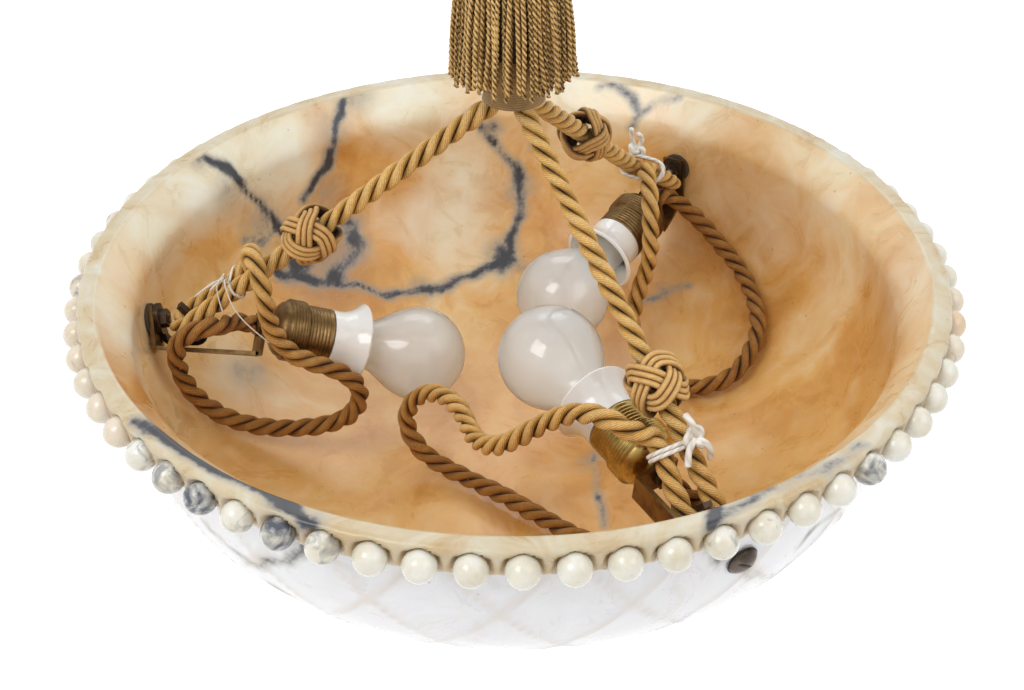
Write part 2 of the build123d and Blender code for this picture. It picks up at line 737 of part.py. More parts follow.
with BuildPart() as rope_ferrule:
    with BuildSketch(Plane.XY.offset(level(ferrule_bottom))):
        Circle(bundle_radius + bundle_gap + ferrule_wall)
    extrude(amount=ferrule_top - ferrule_bottom)
    with BuildSketch(Plane.XY.offset(level(ferrule_bottom))):
        Circle(bundle_radius + bundle_gap)
    extrude(amount=ferrule_top - ferrule_bottom - ferrule_plate, mode=Mode.SUBTRACT)
    with BuildSketch(Plane.XY.offset(level(ferrule_top))):
        Circle(rod_radius + thread_gap)
        with PolarLocations(wire_hole_circle, 3, start_angle=station_angles["rear"]):
            Circle(wire_hole_radius)
    extrude(amount=-ferrule_plate, mode=Mode.SUBTRACT)
    fillet(rope_ferrule.edges().group_by(Axis.Z)[-1].sort_by(SortBy.LENGTH)[-1], ferrule_wall * 0.6)
rope_ferrule.part.label = "rope_ferrule"
export_step(rope_ferrule.part, "parts/rope_ferrule.step")

with BuildPart() as rod_nuts:
    nut_levels = (
        ferrule_top - ferrule_plate - rod_nut_thickness,
        mould_web_height - rod_nut_thickness,
    )
    for height in nut_levels:
        with BuildSketch(Plane.XY.offset(level(height))):
            RegularPolygon(rod_nut_flats / 2, 6, major_radius=False)
            Circle(rod_radius + thread_gap, mode=Mode.SUBTRACT)
        extrude(amount=rod_nut_thickness)
rod_nuts.part.label = "rod_nuts"
export_step(rod_nuts.part, "parts/rod_nuts.step")

with BuildPart() as terminal_block:
    with BuildSketch(Plane.XY.offset(level(ferrule_top))):
        Circle(block_radius)
        Circle(rod_radius + thread_gap, mode=Mode.SUBTRACT)
        with PolarLocations(wire_hole_circle, 3, start_angle=station_angles["rear"]):
            Circle(wire_hole_radius, mode=Mode.SUBTRACT)
    extrude(amount=block_height)
    chamfer(terminal_block.edges().group_by(Axis.Z)[-1].sort_by(SortBy.LENGTH)[-1], 1)
terminal_block.part.label = "terminal_block"
export_step(terminal_block.part, "parts/terminal_block.step")

with BuildPart() as tassel_mould:
    with BuildSketch(Plane.XZ):
        with BuildLine():
            rim_in = (mould_cavity_radius, level(mould_bottom))
            rim_out = (mould_rim_radius, level(mould_bottom))
            shoulder = (mould_rim_radius, level(fringe_top))
            crown = (mould_neck_radius, level(mould_top))
            Line(rim_in, rim_out)
            Line(rim_out, shoulder)
            Spline(
                shoulder, (mould_belly_radius, level(mould_belly)), (mould_neck_radius, level(mould_top - 8)),
                tangents=[(1, 1), (-0.2, 1)],
            )
            Polyline((mould_neck_radius, level(mould_top - 8)), crown, (rod_radius + seat_gap, level(mould_top)),
                     (rod_radius + seat_gap, level(mould_web_height)),
                     (mould_cavity_radius, level(mould_web_height)), rim_in)
        make_face()
    revolve(axis=Axis.Z)
tassel_mould.part.label = "tassel_mould"
export_step(tassel_mould.part, "parts/tassel_mould.step")

with BuildPart() as tassel_fringe:
    with BuildSketch(Plane.XY.offset(level(fringe_top - fringe_band))):
        Circle(fringe_top_radius + fringe_cord_radius)
        Circle(mould_rim_radius + seat_gap, mode=Mode.SUBTRACT)
    extrude(amount=fringe_band)
    rings = ((fringe_count, 0.0), (fringe_inner_count, fringe_inner_step))
    for count, inset in rings:
        for i in range(count):
            a = 2 * pi * (i + 0.5) / count
            out = Vector(cos(a), sin(a), 0)
            high = out * (fringe_top_radius - inset * 0.1) + Vector(0, 0, level(fringe_top - fringe_band + 1))
            low = out * (fringe_end_radius - inset) + Vector(0, 0, level(fringe_end_height))
            with BuildSketch(Plane(origin=high, z_dir=low - high)):
                RegularPolygon(fringe_cord_radius, 8)
            extrude(amount=(low - high).length)
tassel_fringe.part.label = "tassel_fringe"
export_step(tassel_fringe.part, "parts/tassel_fringe.step")

with BuildPart() as eye_rod:
    with BuildSketch(Plane.XY.offset(level(rod_bottom))):
        Circle(rod_radius)
    extrude(amount=eye_height - eye_hole_radius - eye_wire_radius - rod_bottom)
    with BuildSketch(Plane.XY.offset(level(mould_top + seat_gap))):
        Circle(eye_collar_radius)
    extrude(amount=eye_collar_height)
    with BuildSketch(Plane.YZ):
        with Locations((0, level(eye_height + eye_hole_radius + eye_wire_radius))):
            Circle(eye_wire_radius)
    revolve(axis=Axis((0, 0, level(eye_height)), (0, 1, 0)))
eye_rod.part.label = "eye_rod"
export_step(eye_rod.part, "parts/eye_rod.step")

with BuildPart() as hanging_ring:
    ring_center = level(wire_height + ring_mean_radius)
    with BuildSketch(Plane.XZ):
        with Locations((0, ring_center - ring_mean_radius)):
            Circle(ring_wire_radius)
    revolve(axis=Axis((0, 0, ring_center), (1, 0, 0)))
hanging_ring.part.label = "hanging_ring"
export_step(hanging_ring.part, "parts/hanging_ring.step")

# Where the joints are, for the record.
print(f"swing axis height {level(wire_height):.2f}")
for name, angle in station_angles.items():
    face, ahead = holder_axis(name)
    start, end, towards, lift, across = sling_frame(angle)
    print(name, "holder face", face, "axis", ahead)
    print(name, "knot at", end + towards * stations[name]["knot"], "towards", towards)
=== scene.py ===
import math

import bmesh
import bpy
import numpy as np
from mathutils import Matrix, Vector


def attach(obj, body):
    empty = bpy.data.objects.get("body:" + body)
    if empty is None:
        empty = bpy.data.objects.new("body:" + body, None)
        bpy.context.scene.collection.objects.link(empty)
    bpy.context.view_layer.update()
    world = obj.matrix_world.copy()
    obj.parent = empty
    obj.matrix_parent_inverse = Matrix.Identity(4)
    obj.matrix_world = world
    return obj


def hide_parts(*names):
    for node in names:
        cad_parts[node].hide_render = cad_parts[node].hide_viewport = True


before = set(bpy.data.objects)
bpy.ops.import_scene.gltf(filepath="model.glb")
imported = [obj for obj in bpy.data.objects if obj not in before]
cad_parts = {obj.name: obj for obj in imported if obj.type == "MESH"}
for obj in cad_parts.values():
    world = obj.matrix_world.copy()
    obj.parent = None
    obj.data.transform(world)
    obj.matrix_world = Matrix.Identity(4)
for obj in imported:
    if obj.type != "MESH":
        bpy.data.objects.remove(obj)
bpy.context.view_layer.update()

# ---- Camera ---------------------------------------------------------------------------------
# The photograph looks down into the bowl from in front, a little under half a metre above the lip.
# The camera has a slight roll and no shift.


def new_piece(name, data):
    # Puts an object with the given data in the scene.
    piece = bpy.data.objects.new(name, data)
    bpy.context.collection.objects.link(piece)
    return piece


camera_data = bpy.data.cameras.new("camera")
camera_data.sensor_fit = "HORIZONTAL"
camera_data.sensor_width = 36.0
camera_data.lens = 53.86
camera = new_piece("camera", camera_data)
look_down = math.radians(35.78)
roll = -0.0043
ahead = Vector((0, math.cos(look_down), -math.sin(look_down)))
level_right, level_up = Vector((1, 0, 0)), Vector((0, math.sin(look_down), math.cos(look_down)))
view_right = level_right * math.cos(roll) + level_up * math.sin(roll)
view_up = level_up * math.cos(roll) - level_right * math.sin(roll)
camera_place = Vector((-0.0015, -0.7575, 0.2057))
camera.matrix_world = Matrix.LocRotScale(
    camera_place, Matrix((view_right, view_up, -ahead)).transposed(), None)
bpy.context.scene.camera = camera
bpy.context.scene.view_settings.view_transform = "Standard"

# ---- Ropes ----------------------------------------------------------------------------------
# Three cotton ropes, each three strands laid S round the lamp's flex.  A rope leaves the binding
# under the tassel, turns round its hook, is tied back to itself and loops to its lampholder.
rope_width, rope_lay = 0.0116, 0.036
strand_count, strand_radius, strand_offset, strand_faces = 3, 0.00265, 0.0032, 12
# How far along it each rope is still golden, in m; further on it is painted browner, painted shade of
# the bowl on the rope's lower loops.
unshaded_until = {"front": 0.50, "rear": 0.40, "left": 0.37}
# The control points of each rope's line, in mm.
rope_routes = {
    "front": [
        (3.6, -6.5, -157.7), (3.6, -6.5, -174.1), (10.4, -17.5, -184.2), (98.2, -160.3, -314.5),
        (105.8, -172.6, -325.7), (90, -182, -326.2), (80.4, -166.4, -311.9), (73.7, -144.7, -294.6),
        (59, -152, -285.7), (46, -146, -280.7), (33, -135, -285.7), (22, -126, -296.7),
        (11, -119, -308.7), (1, -114, -320.7), (-9, -107, -331.7), (-18, -96, -339.7),
        (-24, -82, -344.7), (-28, -66, -346.7), (-33, -51, -347.7), (-41, -37, -350.7),
        (-50, -25, -356.7), (-60, -17, -366.7), (-67, -13, -380.7), (-67, -13, -395.7),
        (-59, -18, -408.7), (-46, -25, -414.7), (-32, -33, -416.7), (-19, -43, -416.7),
        (-6, -53, -415.7), (6, -64, -415.7), (18, -75, -414.7), (30, -86, -414.7), (42, -96, -412.7),
        (55, -106, -408.7), (67, -116, -403.7), (77, -125, -396.7), (86, -134, -386.7),
        (94, -141, -374.7), (100, -146, -361.7), (103, -151, -346.7), (99, -155, -331.7),
        (86.7, -158.4, -322.4), (79.8, -148.1, -320.7),
    ],
    "rear": [
        (3.8, 6.3, -157.7), (3.8, 6.3, -174.1), (10, 17.7, -184.2), (89.7, 165.2, -314.5),
        (96.6, 178, -325.7), (112.6, 168.9, -326.2), (103.9, 152.8, -311.9), (86.9, 133.4, -292.2),
        (88, 122, -293.7), (89, 108, -300.7), (89, 99, -313.7), (90, 96, -329.7), (89, 96, -345.7),
        (85, 97, -360.7), (81, 95, -376.7), (79, 89, -390.7), (83, 78, -401.7), (90, 65, -408.7),
        (101, 54, -410.7), (115, 46, -409.7), (130, 43, -404.7), (144, 46, -398.7), (154, 56, -390.7),
        (161, 69, -383.7), (163, 83, -377.7), (161, 99, -371.7), (157, 114, -366.7), (151, 127, -361.7),
        (142, 139, -355.7), (133, 148, -347.7), (123, 152, -338.7), (115, 153, -331.7),
        (101.9, 153, -322.3), (96, 145.4, -324.2),
    ],
    "left": [
        (-7.4, 0.2, -157.7), (-7.4, 0.2, -174.1), (-20.3, -0.2, -184.2), (-187.9, -4.9, -314.5),
        (-202.4, -5.3, -325.7), (-202.6, 13.1, -326.2), (-184.3, 13.6, -311.9), (-156.6, 8.7, -290.3),
        (-156, 5, -276.7), (-152, -7, -268.7), (-147, -20, -273.7), (-144, -25, -287.7),
        (-144, -23, -304.7), (-141, -19, -320.7), (-133, -17, -334.7), (-120, -15, -342.7),
        (-106, -13, -349.7), (-95, -12, -360.7), (-95, -11, -375.7), (-104, -11, -387.7),
        (-119, -11, -393.7), (-135, -11, -395.7), (-151, -12, -394.7), (-166, -13, -390.7),
        (-180, -14, -383.7), (-191, -16, -371.7), (-199, -17, -357.7), (-202, -19, -341.7),
        (-201, -22, -324.7), (-192, -22, -314.7), (-181, -20, -311.7), (-173, -12, -316.7),
        (-168.6, 1.5, -322.1), (-157.4, 4.4, -326.9),
    ],
}


def spline_path(name, route):
    # A smooth line through a route's control points, read back as points a few mm apart.
    curve = bpy.data.curves.new(name, "CURVE")
    curve.dimensions = "3D"
    spline = curve.splines.new("NURBS")
    spline.points.add(len(route) - 1)
    for knot, place in zip(spline.points, route):
        knot.co = (*place, 1.0)
    spline.order_u = 3
    spline.use_endpoint_u = True
    spline.resolution_u = 24
    holder = new_piece(name, curve)
    points = points_of(evaluated_mesh(holder))
    bpy.data.objects.remove(holder)
    apart = np.linalg.norm(np.diff(points, axis=0), axis=1) > 1e-6
    return points[np.append(True, apart)]


def evaluated_mesh(piece):
    return bpy.data.meshes.new_from_object(piece.evaluated_get(bpy.context.evaluated_depsgraph_get()))


def points_of(mesh):
    return np.array([v.co[:] for v in mesh.vertices])


def unit(rows):
    return rows / np.maximum(np.linalg.norm(rows, axis=-1, keepdims=True), 1e-12)


def distance_along(line):
    # How far along a line each of its points is.
    return np.append(0, np.cumsum(np.linalg.norm(np.diff(line, axis=0), axis=1)))


def evenly(line, count):
    # The same line with evenly spaced points.
    run = distance_along(line)
    even = np.linspace(0, run[-1], count)
    return np.stack([np.interp(even, run, values) for values in line.T], 1)


def tube(center, outward, radius, faces_round, lay):
    # One round strand as rings of points with a pole at each end; outward turns its section.
    tangent = unit(np.gradient(center, axis=0))
    out = unit(outward - tangent * (outward * tangent).sum(1, keepdims=True))
    angle = round_angles(faces_round)[None, :, None]
    ring = np.cos(angle) * out[:, None] + np.sin(angle) * np.cross(tangent, out)[:, None]
    width = np.broadcast_to(radius, len(center))
    points = (center[:, None] + ring * width[:, None, None]).reshape(-1, 3)
    points = np.vstack([points, center[0] - tangent[0] * width[0] * 0.5,
                        center[-1] + tangent[-1] * width[-1] * 0.5])
    along = distance_along(center) / lay
    rows, n = len(center), faces_round
    low = np.arange(rows - 1) * n
    u = np.stack([along[:-1], along[:-1], along[1:], along[1:]], 1)
    quads, quad_places = [], []
    for j in range(n):
        k = (j + 1) % n
        quads.append(np.stack([low + j, low + k, low + n + k, low + n + j], 1))
        v = np.broadcast_to(np.array([j, j + 1, j + 1, j]) / n, u.shape)
        quad_places.append(np.stack([u, v], 2))
    start_pole, end_pole, last = rows * n, rows * n + 1, (rows - 1) * n
    fans = [(start_pole, (j + 1) % n, j) for j in range(n)]
    fans += [(end_pole, last + j, last + (j + 1) % n) for j in range(n)]
    fan_places = [((along[end], j / n),) * 3 for end in (0, -1) for j in range(n)]
    return points, np.concatenate(quads), np.concatenate(quad_places), fans, fan_places


def round_angles(count):
    return np.arange(count) * 2 * np.pi / count


def new_mesh(name, points, faces):
    mesh = bpy.data.meshes.new(name)
    mesh.from_pydata(np.asarray(points).tolist(), [], faces)
    return mesh


def shade_smooth(mesh):
    mesh.polygons.foreach_set("use_smooth", np.ones(len(mesh.polygons), dtype=bool))
    mesh.update()


def mark_points(mesh, **marks):
    # Stores numbers on a mesh's points, one each, for its finish to read.
    for key, values in marks.items():
        layer = mesh.attributes.new(key, "FLOAT", "POINT")
        layer.data.foreach_set("value", np.asarray(values, dtype=np.float32))


def strands_mesh(name, tubes, **marks):
    # Joins tubes into one closed mesh with its UV map and marks.
    points, faces, places, start = [], [], [], 0
    for tube_points, quads, quad_places, fans, fan_places in tubes:
        points.append(tube_points)
        faces += (quads + start).tolist() + [tuple(i + start for i in fan) for fan in fans]
        places += quad_places.reshape(-1, 2).tolist() + [p for fan in fan_places for p in fan]
        start += len(tube_points)
    mesh = new_mesh(name, np.vstack(points), faces)
    mesh.uv_layers.new(name="lay").data.foreach_set("uv", np.array(places).ravel())
    mark_points(mesh, **marks)
    shade_smooth(mesh)
    return new_piece(name, mesh)


def laid_strands(path, count, radius, offset, lay, faces_round, start_angle=0.0):
    # The strands of a rope round its path, laid S.
    tangent = unit(np.gradient(path, axis=0))
    sides = [unit(np.cross(tangent[0], (0.3, 0.9, 0.2)))]
    for t in tangent[1:]:
        sides.append(unit(sides[-1] - t * sides[-1].dot(t)))
    side = np.array(sides)
    other = np.cross(tangent, side)
    run = distance_along(path)
    result = []
    for k in range(count):
        turn = start_angle - 2 * np.pi * run / lay + 2 * np.pi * k / count
        outward = np.cos(turn)[:, None] * side + np.sin(turn)[:, None] * other
        result.append(tube(path + outward * offset, outward, radius, faces_round, lay))
    return result


def fill(tree, made, inputs):
    # Links a node's inputs to other nodes, or sets them.
    for key, value in inputs.items():
        if hasattr(value, "is_output"):
            tree.links.new(value, made.inputs[key])
        else:
            made.inputs[key].default_value = value


def node(tree, kind, inputs=None, **settings):
    made = tree.nodes.new(kind)
    for key, value in settings.items():
        setattr(made, key, value)
    fill(tree, made, inputs or {})
    return made


def new_finish(name):
    # An empty material with its Principled shader.
    material = bpy.data.materials.new(name)
    material.use_nodes = True
    return material, material.node_tree, material.node_tree.nodes["Principled BSDF"]


def maths(tree, operation, a, b=0.0, clamp=False):
    return node(tree, "ShaderNodeMath", {0: a, 1: b}, operation=operation, use_clamp=clamp).outputs[0]


def plus(tree, a, b, clamp=False):
    return maths(tree, "ADD", a, b, clamp)


def minus(tree, a, b):
    return maths(tree, "SUBTRACT", a, b)


def times(tree, a, b, clamp=False):
    return maths(tree, "MULTIPLY", a, b, clamp)


def spread(tree, value, low, high, top=1.0, bottom=0.0):
    # Bottom where a value is low, top where it is high, and even between.
    return node(tree, "ShaderNodeMapRange", {"Value": value, "From Min": low, "From Max": high,
                                             "To Min": bottom, "To Max": top}).outputs[0]


def noise(tree, place, scale, detail, roughness=0.5, distortion=0.0, output="Fac"):
    return node(tree, "ShaderNodeTexNoise", {
        "Vector": place, "Scale": scale, "Detail": detail, "Roughness": roughness,
        "Distortion": distortion}).outputs[output]


def mark(tree, key):
    # What is stored on the mesh's points.
    return node(tree, "ShaderNodeAttribute", attribute_name=key).outputs["Fac"]


def own_place(tree):
    return node(tree, "ShaderNodeTexCoord").outputs["Object"]


def strand_lay(tree):
    # How far along its strand a point is, in turns of the lay, and how far round it.
    on_strand = node(tree, "ShaderNodeUVMap", uv_map="lay").outputs[0]
    lay = node(tree, "ShaderNodeSeparateXYZ", {0: on_strand})
    return lay.outputs[0], lay.outputs[1]


def ridges(tree, turns, pitch=math.pi):
    return maths(tree, "ABSOLUTE", maths(tree, "SINE", times(tree, turns, pitch)))


def bump(tree, strength, distance, height):
    return node(tree, "ShaderNodeBump", {"Strength": strength, "Distance": distance,
                                         "Height": height}).outputs[0]


def blend_colours(tree, factor, a, b, kind="MIX"):
    a, b = (tone if hasattr(tone, "is_output") else (*tone, 1.0) for tone in (a, b))
    return node(tree, "ShaderNodeMix", {0: factor, 6: a, 7: b}, data_type="RGBA",
                blend_type=kind).outputs[2]


def overlaid(tree, tone, *layers):
    # Lays further tones over the first, each by its own amount.
    for amount, over in layers:
        tone = blend_colours(tree, amount, tone, over)
    return tone


def soiling_group():
    # Soil and handling marks: a soft patchy mask and a fine grain, from a piece's own place.
    group = bpy.data.node_groups.new("soiling", "ShaderNodeTree")
    for title, start in (("Patch Scale", 25.0), ("Grain Scale", 900.0), ("Amount", 0.5)):
        amount = group.interface.new_socket(title, in_out="INPUT", socket_type="NodeSocketFloat")
        amount.default_value = start
    for title in ("Patches", "Grain"):
        group.interface.new_socket(title, in_out="OUTPUT", socket_type="NodeSocketFloat")
    given = node(group, "NodeGroupInput").outputs
    place = own_place(group)
    patches = spread(group, noise(group, place, given["Patch Scale"], 5.0, 0.65), 0.36, 0.66)
    node(group, "NodeGroupOutput", {"Patches": times(group, patches, given["Amount"]),
                                    "Grain": noise(group, place, given["Grain Scale"], 3.0)})
    return group


soiling = soiling_group()


def place_soiling(tree, patch_scale, grain_scale, amount):
    # The patches and the grain of the soiling group.
    soil = node(tree, "ShaderNodeGroup", {"Patch Scale": patch_scale, "Grain Scale": grain_scale,
                                          "Amount": amount}, node_tree=soiling)
    return soil.outputs["Patches"], soil.outputs["Grain"]


def yarn_finish(name, pale, deep, yarns, slant, ridge, lines):
    # Twisted yarn: fine ridges run along each strand, with a painted highlight and some bleaching on
    # its crown, painted shade in its grooves and painted shade between its yarns.
    material, tree, shader = new_finish(name)
    along, around = strand_lay(tree)
    place = own_place(tree)
    shift = noise(tree, place, 160.0, 3.0)
    wave = ridges(tree, plus(tree, times(tree, around, float(yarns)), plus(
        tree, times(tree, along, slant), times(tree, shift, 0.9))))
    patches, _ = place_soiling(tree, 60.0, 1500.0, 0.8)
    fibre = noise(tree, place, 900.0, 6.0, 0.7)
    age, groove = mark(tree, "age"), mark(tree, "groove")
    # Browner where the mark says: on the ropes' lower loops this is painted shade of the bowl; on knots
    # and fringe it is their own tone.
    aged = plus(tree, age, times(tree, minus(tree, shift, 0.5), 1.2), clamp=True)
    # Painted shade between the yarn ridges.
    shade_between_yarns = maths(tree, "POWER", minus(tree, 1.0, wave), 1.3)
    # A painted highlight, with some bleaching, on each strand's crown.
    crown_highlight_and_bleach = times(tree, times(tree, groove, -2.0, clamp=True),
                 times(tree, minus(tree, 1.15, age), 0.5), clamp=True)
    tone = overlaid(tree, pale, (aged, deep), (times(tree, patches, 0.35), (0.15, 0.062, 0.014)),
                    (times(tree, shade_between_yarns, lines), (0.13, 0.055, 0.014)),
                    # Painted shade in the grooves between strands.
                    (times(tree, groove, 1.0, clamp=True), (0.045, 0.017, 0.004)),
                    (crown_highlight_and_bleach, (0.93, 0.65, 0.29)))
    tone = blend_colours(tree, 1.0, tone, plus(tree, times(tree, fibre, 1.2), 0.42), "MULTIPLY")
    height = plus(tree, wave, times(tree, fibre, 0.9))
    fill(tree, shader, {"Base Color": tone, "Normal": bump(tree, 0.8, ridge, height), "Roughness": 0.6,
                        "Specular IOR Level": 0.3, "Sheen Weight": 0.06, "Sheen Roughness": 0.4})
    return material


rope_yarn = yarn_finish("rope_yarn", (0.86, 0.475, 0.105), (0.38, 0.15, 0.018), 13, 8.0, 0.0006, 0.55)
for station, route_mm in rope_routes.items():
    route = [tuple(round(c / 1000, 4) for c in place) for place in route_mm]
    path = spline_path("rope_route_" + station, route)
    run = distance_along(path)
    fine = evenly(path, int(run[-1] / 0.0016))
    even = np.linspace(0, run[-1], len(fine))
    # The strands swell a little here and there, and go from gold to brown along the rope: painted shade
    # where the rope goes down into the bowl and its loops lie in the bowl's shade.
    swell = (1 + 0.05 * np.sin(even / 0.0047 + 1.0) + 0.04 * np.sin(even / 0.013)
             + 0.03 * np.sin(even / 0.0023))
    strands = laid_strands(fine, strand_count, strand_radius * swell, strand_offset, rope_lay,
                           strand_faces)
    ring_run = np.append(np.repeat(even, strand_faces), [0, even[-1]])
    # Painted shade: browner past where the rope dips into the bowl, and most on its lower loops.
    bowl_shade = np.clip((ring_run - unshaded_until[station]) / 0.10, 0.0, 1) * 0.85
    bowl_shade += 0.15 * np.clip((ring_run - 0.22) / 0.05, 0, 1)
    # Painted light: each strand is painted dark where it lies near the rope's middle, painted shade
    # between the strands, and pale on its crown, a painted highlight.
    center = np.vstack([np.repeat(fine, strand_faces, axis=0), fine[:1], fine[-1:]])
    reach = np.concatenate([np.linalg.norm(strand[0] - center, axis=1) for strand in strands])
    rope = strands_mesh("rope_" + station + "_laid", strands, age=np.tile(bowl_shade, strand_count),
                        groove=np.clip((0.0050 - reach) / 0.0018, -0.45, 1))
    rope.data.materials.append(rope_yarn)
    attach(rope, "pendant")
    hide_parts("rope_" + station)

# ---- Alabaster bowl -------------------------------------------------------------------------
# One block of alabaster, turned and carved: a plain polished inside, a flat land round the lip,
# a row of beads under it and shallow lozenges cut into the outside.  Grey veins run through it.
lip_height = -0.2757
side_top, side_drop = 0.01875, 0.144
side_widest, side_power, side_root = 0.2345, 2.552, 2.978
bead_count = 66
first_bead = 3.6775
bead_ring, bead_level, bead_size = 0.2506, -0.0116, 0.0083
socket_ring, socket_radius, socket_round = 0.2485, 0.0086, 0.0020
lozenge_count, lozenge_lean, fillet_width, stain_width = 22, 1.75, 0.05, 0.045
fillet_height, face_hollow = 0.0011, 0.0007


def side_point(share, inset):
    # A point of the bowl's side: (radius, height below the lip), share of the way down.
    share = np.minimum(share, 0.99999)
    left = 1 - share ** side_power
    slope = (-side_widest * side_power / side_root * share ** (side_power - 1)
             * left ** (1 / side_root - 1))
    length = np.hypot(slope, side_drop)
    radius = side_widest * left ** (1 / side_root)
    return np.stack([radius - inset * side_drop / length,
                     -side_top - share * side_drop - inset * slope / length], -1)


def even_rows(first, inset, count):
    # Points of the side from a share down to the middle of the bottom, evenly spaced.
    round_part = (1 - np.linspace(0, 1, 500) ** side_root) ** (1 / side_power)
    shares = np.unique(np.concatenate([np.linspace(first, 1, 500), round_part]))
    dense = side_point(shares[shares >= first], inset)
    return evenly(dense[dense[:, 0] > 0.002], count)


def bowl_section():
    # The section from the middle of the floor inside, over the lip, to the middle underneath,
    # and how many of its rows are inside, and where the outer side starts.
    inner = even_rows(0.055, 0.012, 104)[::-1]
    floor = np.array([(0.0, inner[0, 1])])
    t = np.linspace(0, 1, 14)[:, None]
    low, high = np.array([0.2225, -0.026]), np.array([0.2395, 0.0])
    pull_low, pull_high = np.array([0, 0.026]), np.array([0.017, 0.0238])
    flare = ((2 * t**3 - 3 * t**2 + 1) * low + (t**3 - 2 * t**2 + t) * pull_low
             + (3 * t**2 - 2 * t**3) * high + (t**3 - t**2) * pull_high)
    inner = inner[inner[:, 1] < -0.0275]
    land = np.array([(0.2408, 0.0), (0.2432, 0.0), (0.2456, 0.0), (0.2470, -0.00005)])
    edge_angle, edge_radius = np.radians([65, 45, 22, 0]), 0.003
    edge = np.stack([0.247 + edge_radius * np.cos(edge_angle),
                     -edge_radius + edge_radius * np.sin(edge_angle)], 1)
    fascia = np.array([
        (250.0, -4.1), (249.9, -5.2), (249.8, -6.4), (249.7, -7.8), (249.6, -9.3), (249.5, -10.9),
        (249.4, -12.5), (249.2, -14.0), (248.7, -15.4), (247.8, -16.8), (246.4, -18.2), (244.7, -19.6),
        (242.5, -20.7), (239.5, -21.2), (236.5, -21.3)]) / 1000
    outer = even_rows(0.018, 0.0, 60)
    foot = np.array([(0.0, outer[-1, 1])])
    inside_rows = 1 + len(inner) + len(flare)
    outer_start = inside_rows + len(land) + len(edge) + len(fascia)
    return np.vstack([floor, inner, flare, land, edge, fascia, outer, foot]), inside_rows, outer_start


section, inside_rows, outer_start = bowl_section()
fine_turns = bead_count * 12
coarse_turns = fine_turns // 2
step = 2 * np.pi / bead_count
ring_points, ring_starts, ring_counts, inside_mask, stain, total = [], [], [], [], [], 0
for row, (row_radius, row_height) in enumerate(section[1:-1], start=1):
    fine_row = inside_rows - 12 <= row < outer_start + 2
    count = fine_turns if fine_row else coarse_turns
    around = first_bead + round_angles(count)
    radius, height = np.full(count, row_radius), np.full(count, row_height)
    soil = np.zeros(count)
    # Each bead stands in a round socket, cut into the edge of the lip and the web between the beads.
    if inside_rows <= row < outer_start:
        from_bead = (around - first_bead + step / 2) % step - step / 2
        gap = np.hypot(from_bead * socket_ring, height - bead_level)
        edge = np.clip((gap - socket_radius) / socket_round, 0, 1)
        cut = (1 - edge * edge * (3 - 2 * edge)) * (radius > 0.2425)
        radius = radius - np.maximum(radius - 0.2452, 0) * cut
        height = height - 0.0011 * np.exp(-((gap - 0.0098) / 0.0012) ** 2) * (row_height > -0.0035)
        # A soft brown ring on the stone where each bead meets its socket.
        soil = np.clip(1.25 - np.abs(gap - 0.0090) / 0.0030, 0, 1) * (row_height < -0.002)
    # Lozenges outside: low fillets that cross, and the faces between them hollowed.
    if row >= outer_start:
        depth = np.clip(-(row_height + 0.019) / side_drop, 0, 1)
        share = (around - first_bead) / (2 * np.pi) * lozenge_count
        lean = math.asin(min(depth, 0.999)) * lozenge_lean
        waves = [np.abs((share + way * lean + 0.5) % 1 - 0.5) for way in (1, -1)]
        fillet, streak = (sum(np.exp(-(wave / width) ** 2) for wave in waves)
                          for width in (fillet_width, stain_width))
        fade = np.clip((0.985 - depth) / 0.2, 0, 1) * np.clip(depth / 0.04, 0, 1)
        radius += (fillet_height * np.minimum(fillet, 1.2) - face_hollow) * fade
        soil = 0.42 * np.clip(streak, 0, 1) * fade
    # The hand of the carver: nothing is quite round.
    uneven = 0.0012 * np.sin(around * 2 + 0.7) + 0.0006 * np.sin(around * 5 + 2)
    radius *= 1 + uneven * (0.5 if row >= outer_start else 1)
    ring_points.append(np.stack([radius * np.cos(around), radius * np.sin(around),
                                 height + lip_height], 1))
    inside_mask.append(np.full(count, 1.0 if row < inside_rows - 1 else 0.0))
    stain.append(soil)
    ring_starts.append(total)
    ring_counts.append(count)
    total += count
poles = [(0, 0, section[end, 1] + lip_height) for end in (0, -1)]
bowl_points = np.vstack(ring_points + [poles])
inside_mask = np.concatenate(inside_mask + [[1.0, 0.0]])
stain = np.concatenate(stain + [[0.0, 0.0]])
bowl_faces = []
for low, high, low_count, high_count in zip(ring_starts, ring_starts[1:],
                                            ring_counts, ring_counts[1:]):
    for j in range(min(low_count, high_count)):
        k = (j + 1) % min(low_count, high_count)
        if low_count == high_count:
            bowl_faces.append((low + j, low + k, high + k, high + j))
        elif low_count < high_count:
            a, b, c = high + 2 * j, high + 2 * j + 1, high + (2 * j + 2) % high_count
            bowl_faces += [(low + j, b, a), (low + j, low + k, b), (low + k, c, b)]
        else:
            a, b, c = low + 2 * j, low + 2 * j + 1, low + (2 * j + 2) % low_count
            bowl_faces += [(a, b, high + j), (b, high + k, high + j), (b, c, high + k)]
floor_pole, foot_pole, last = len(bowl_points) - 2, len(bowl_points) - 1, ring_starts[-1]
bowl_faces += [(floor_pole, (j + 1) % coarse_turns, j) for j in range(coarse_turns)]
bowl_faces += [(foot_pole, last + j, last + (j + 1) % coarse_turns) for j in range(coarse_turns)]
bowl_faces = [face[::-1] for face in bowl_faces]


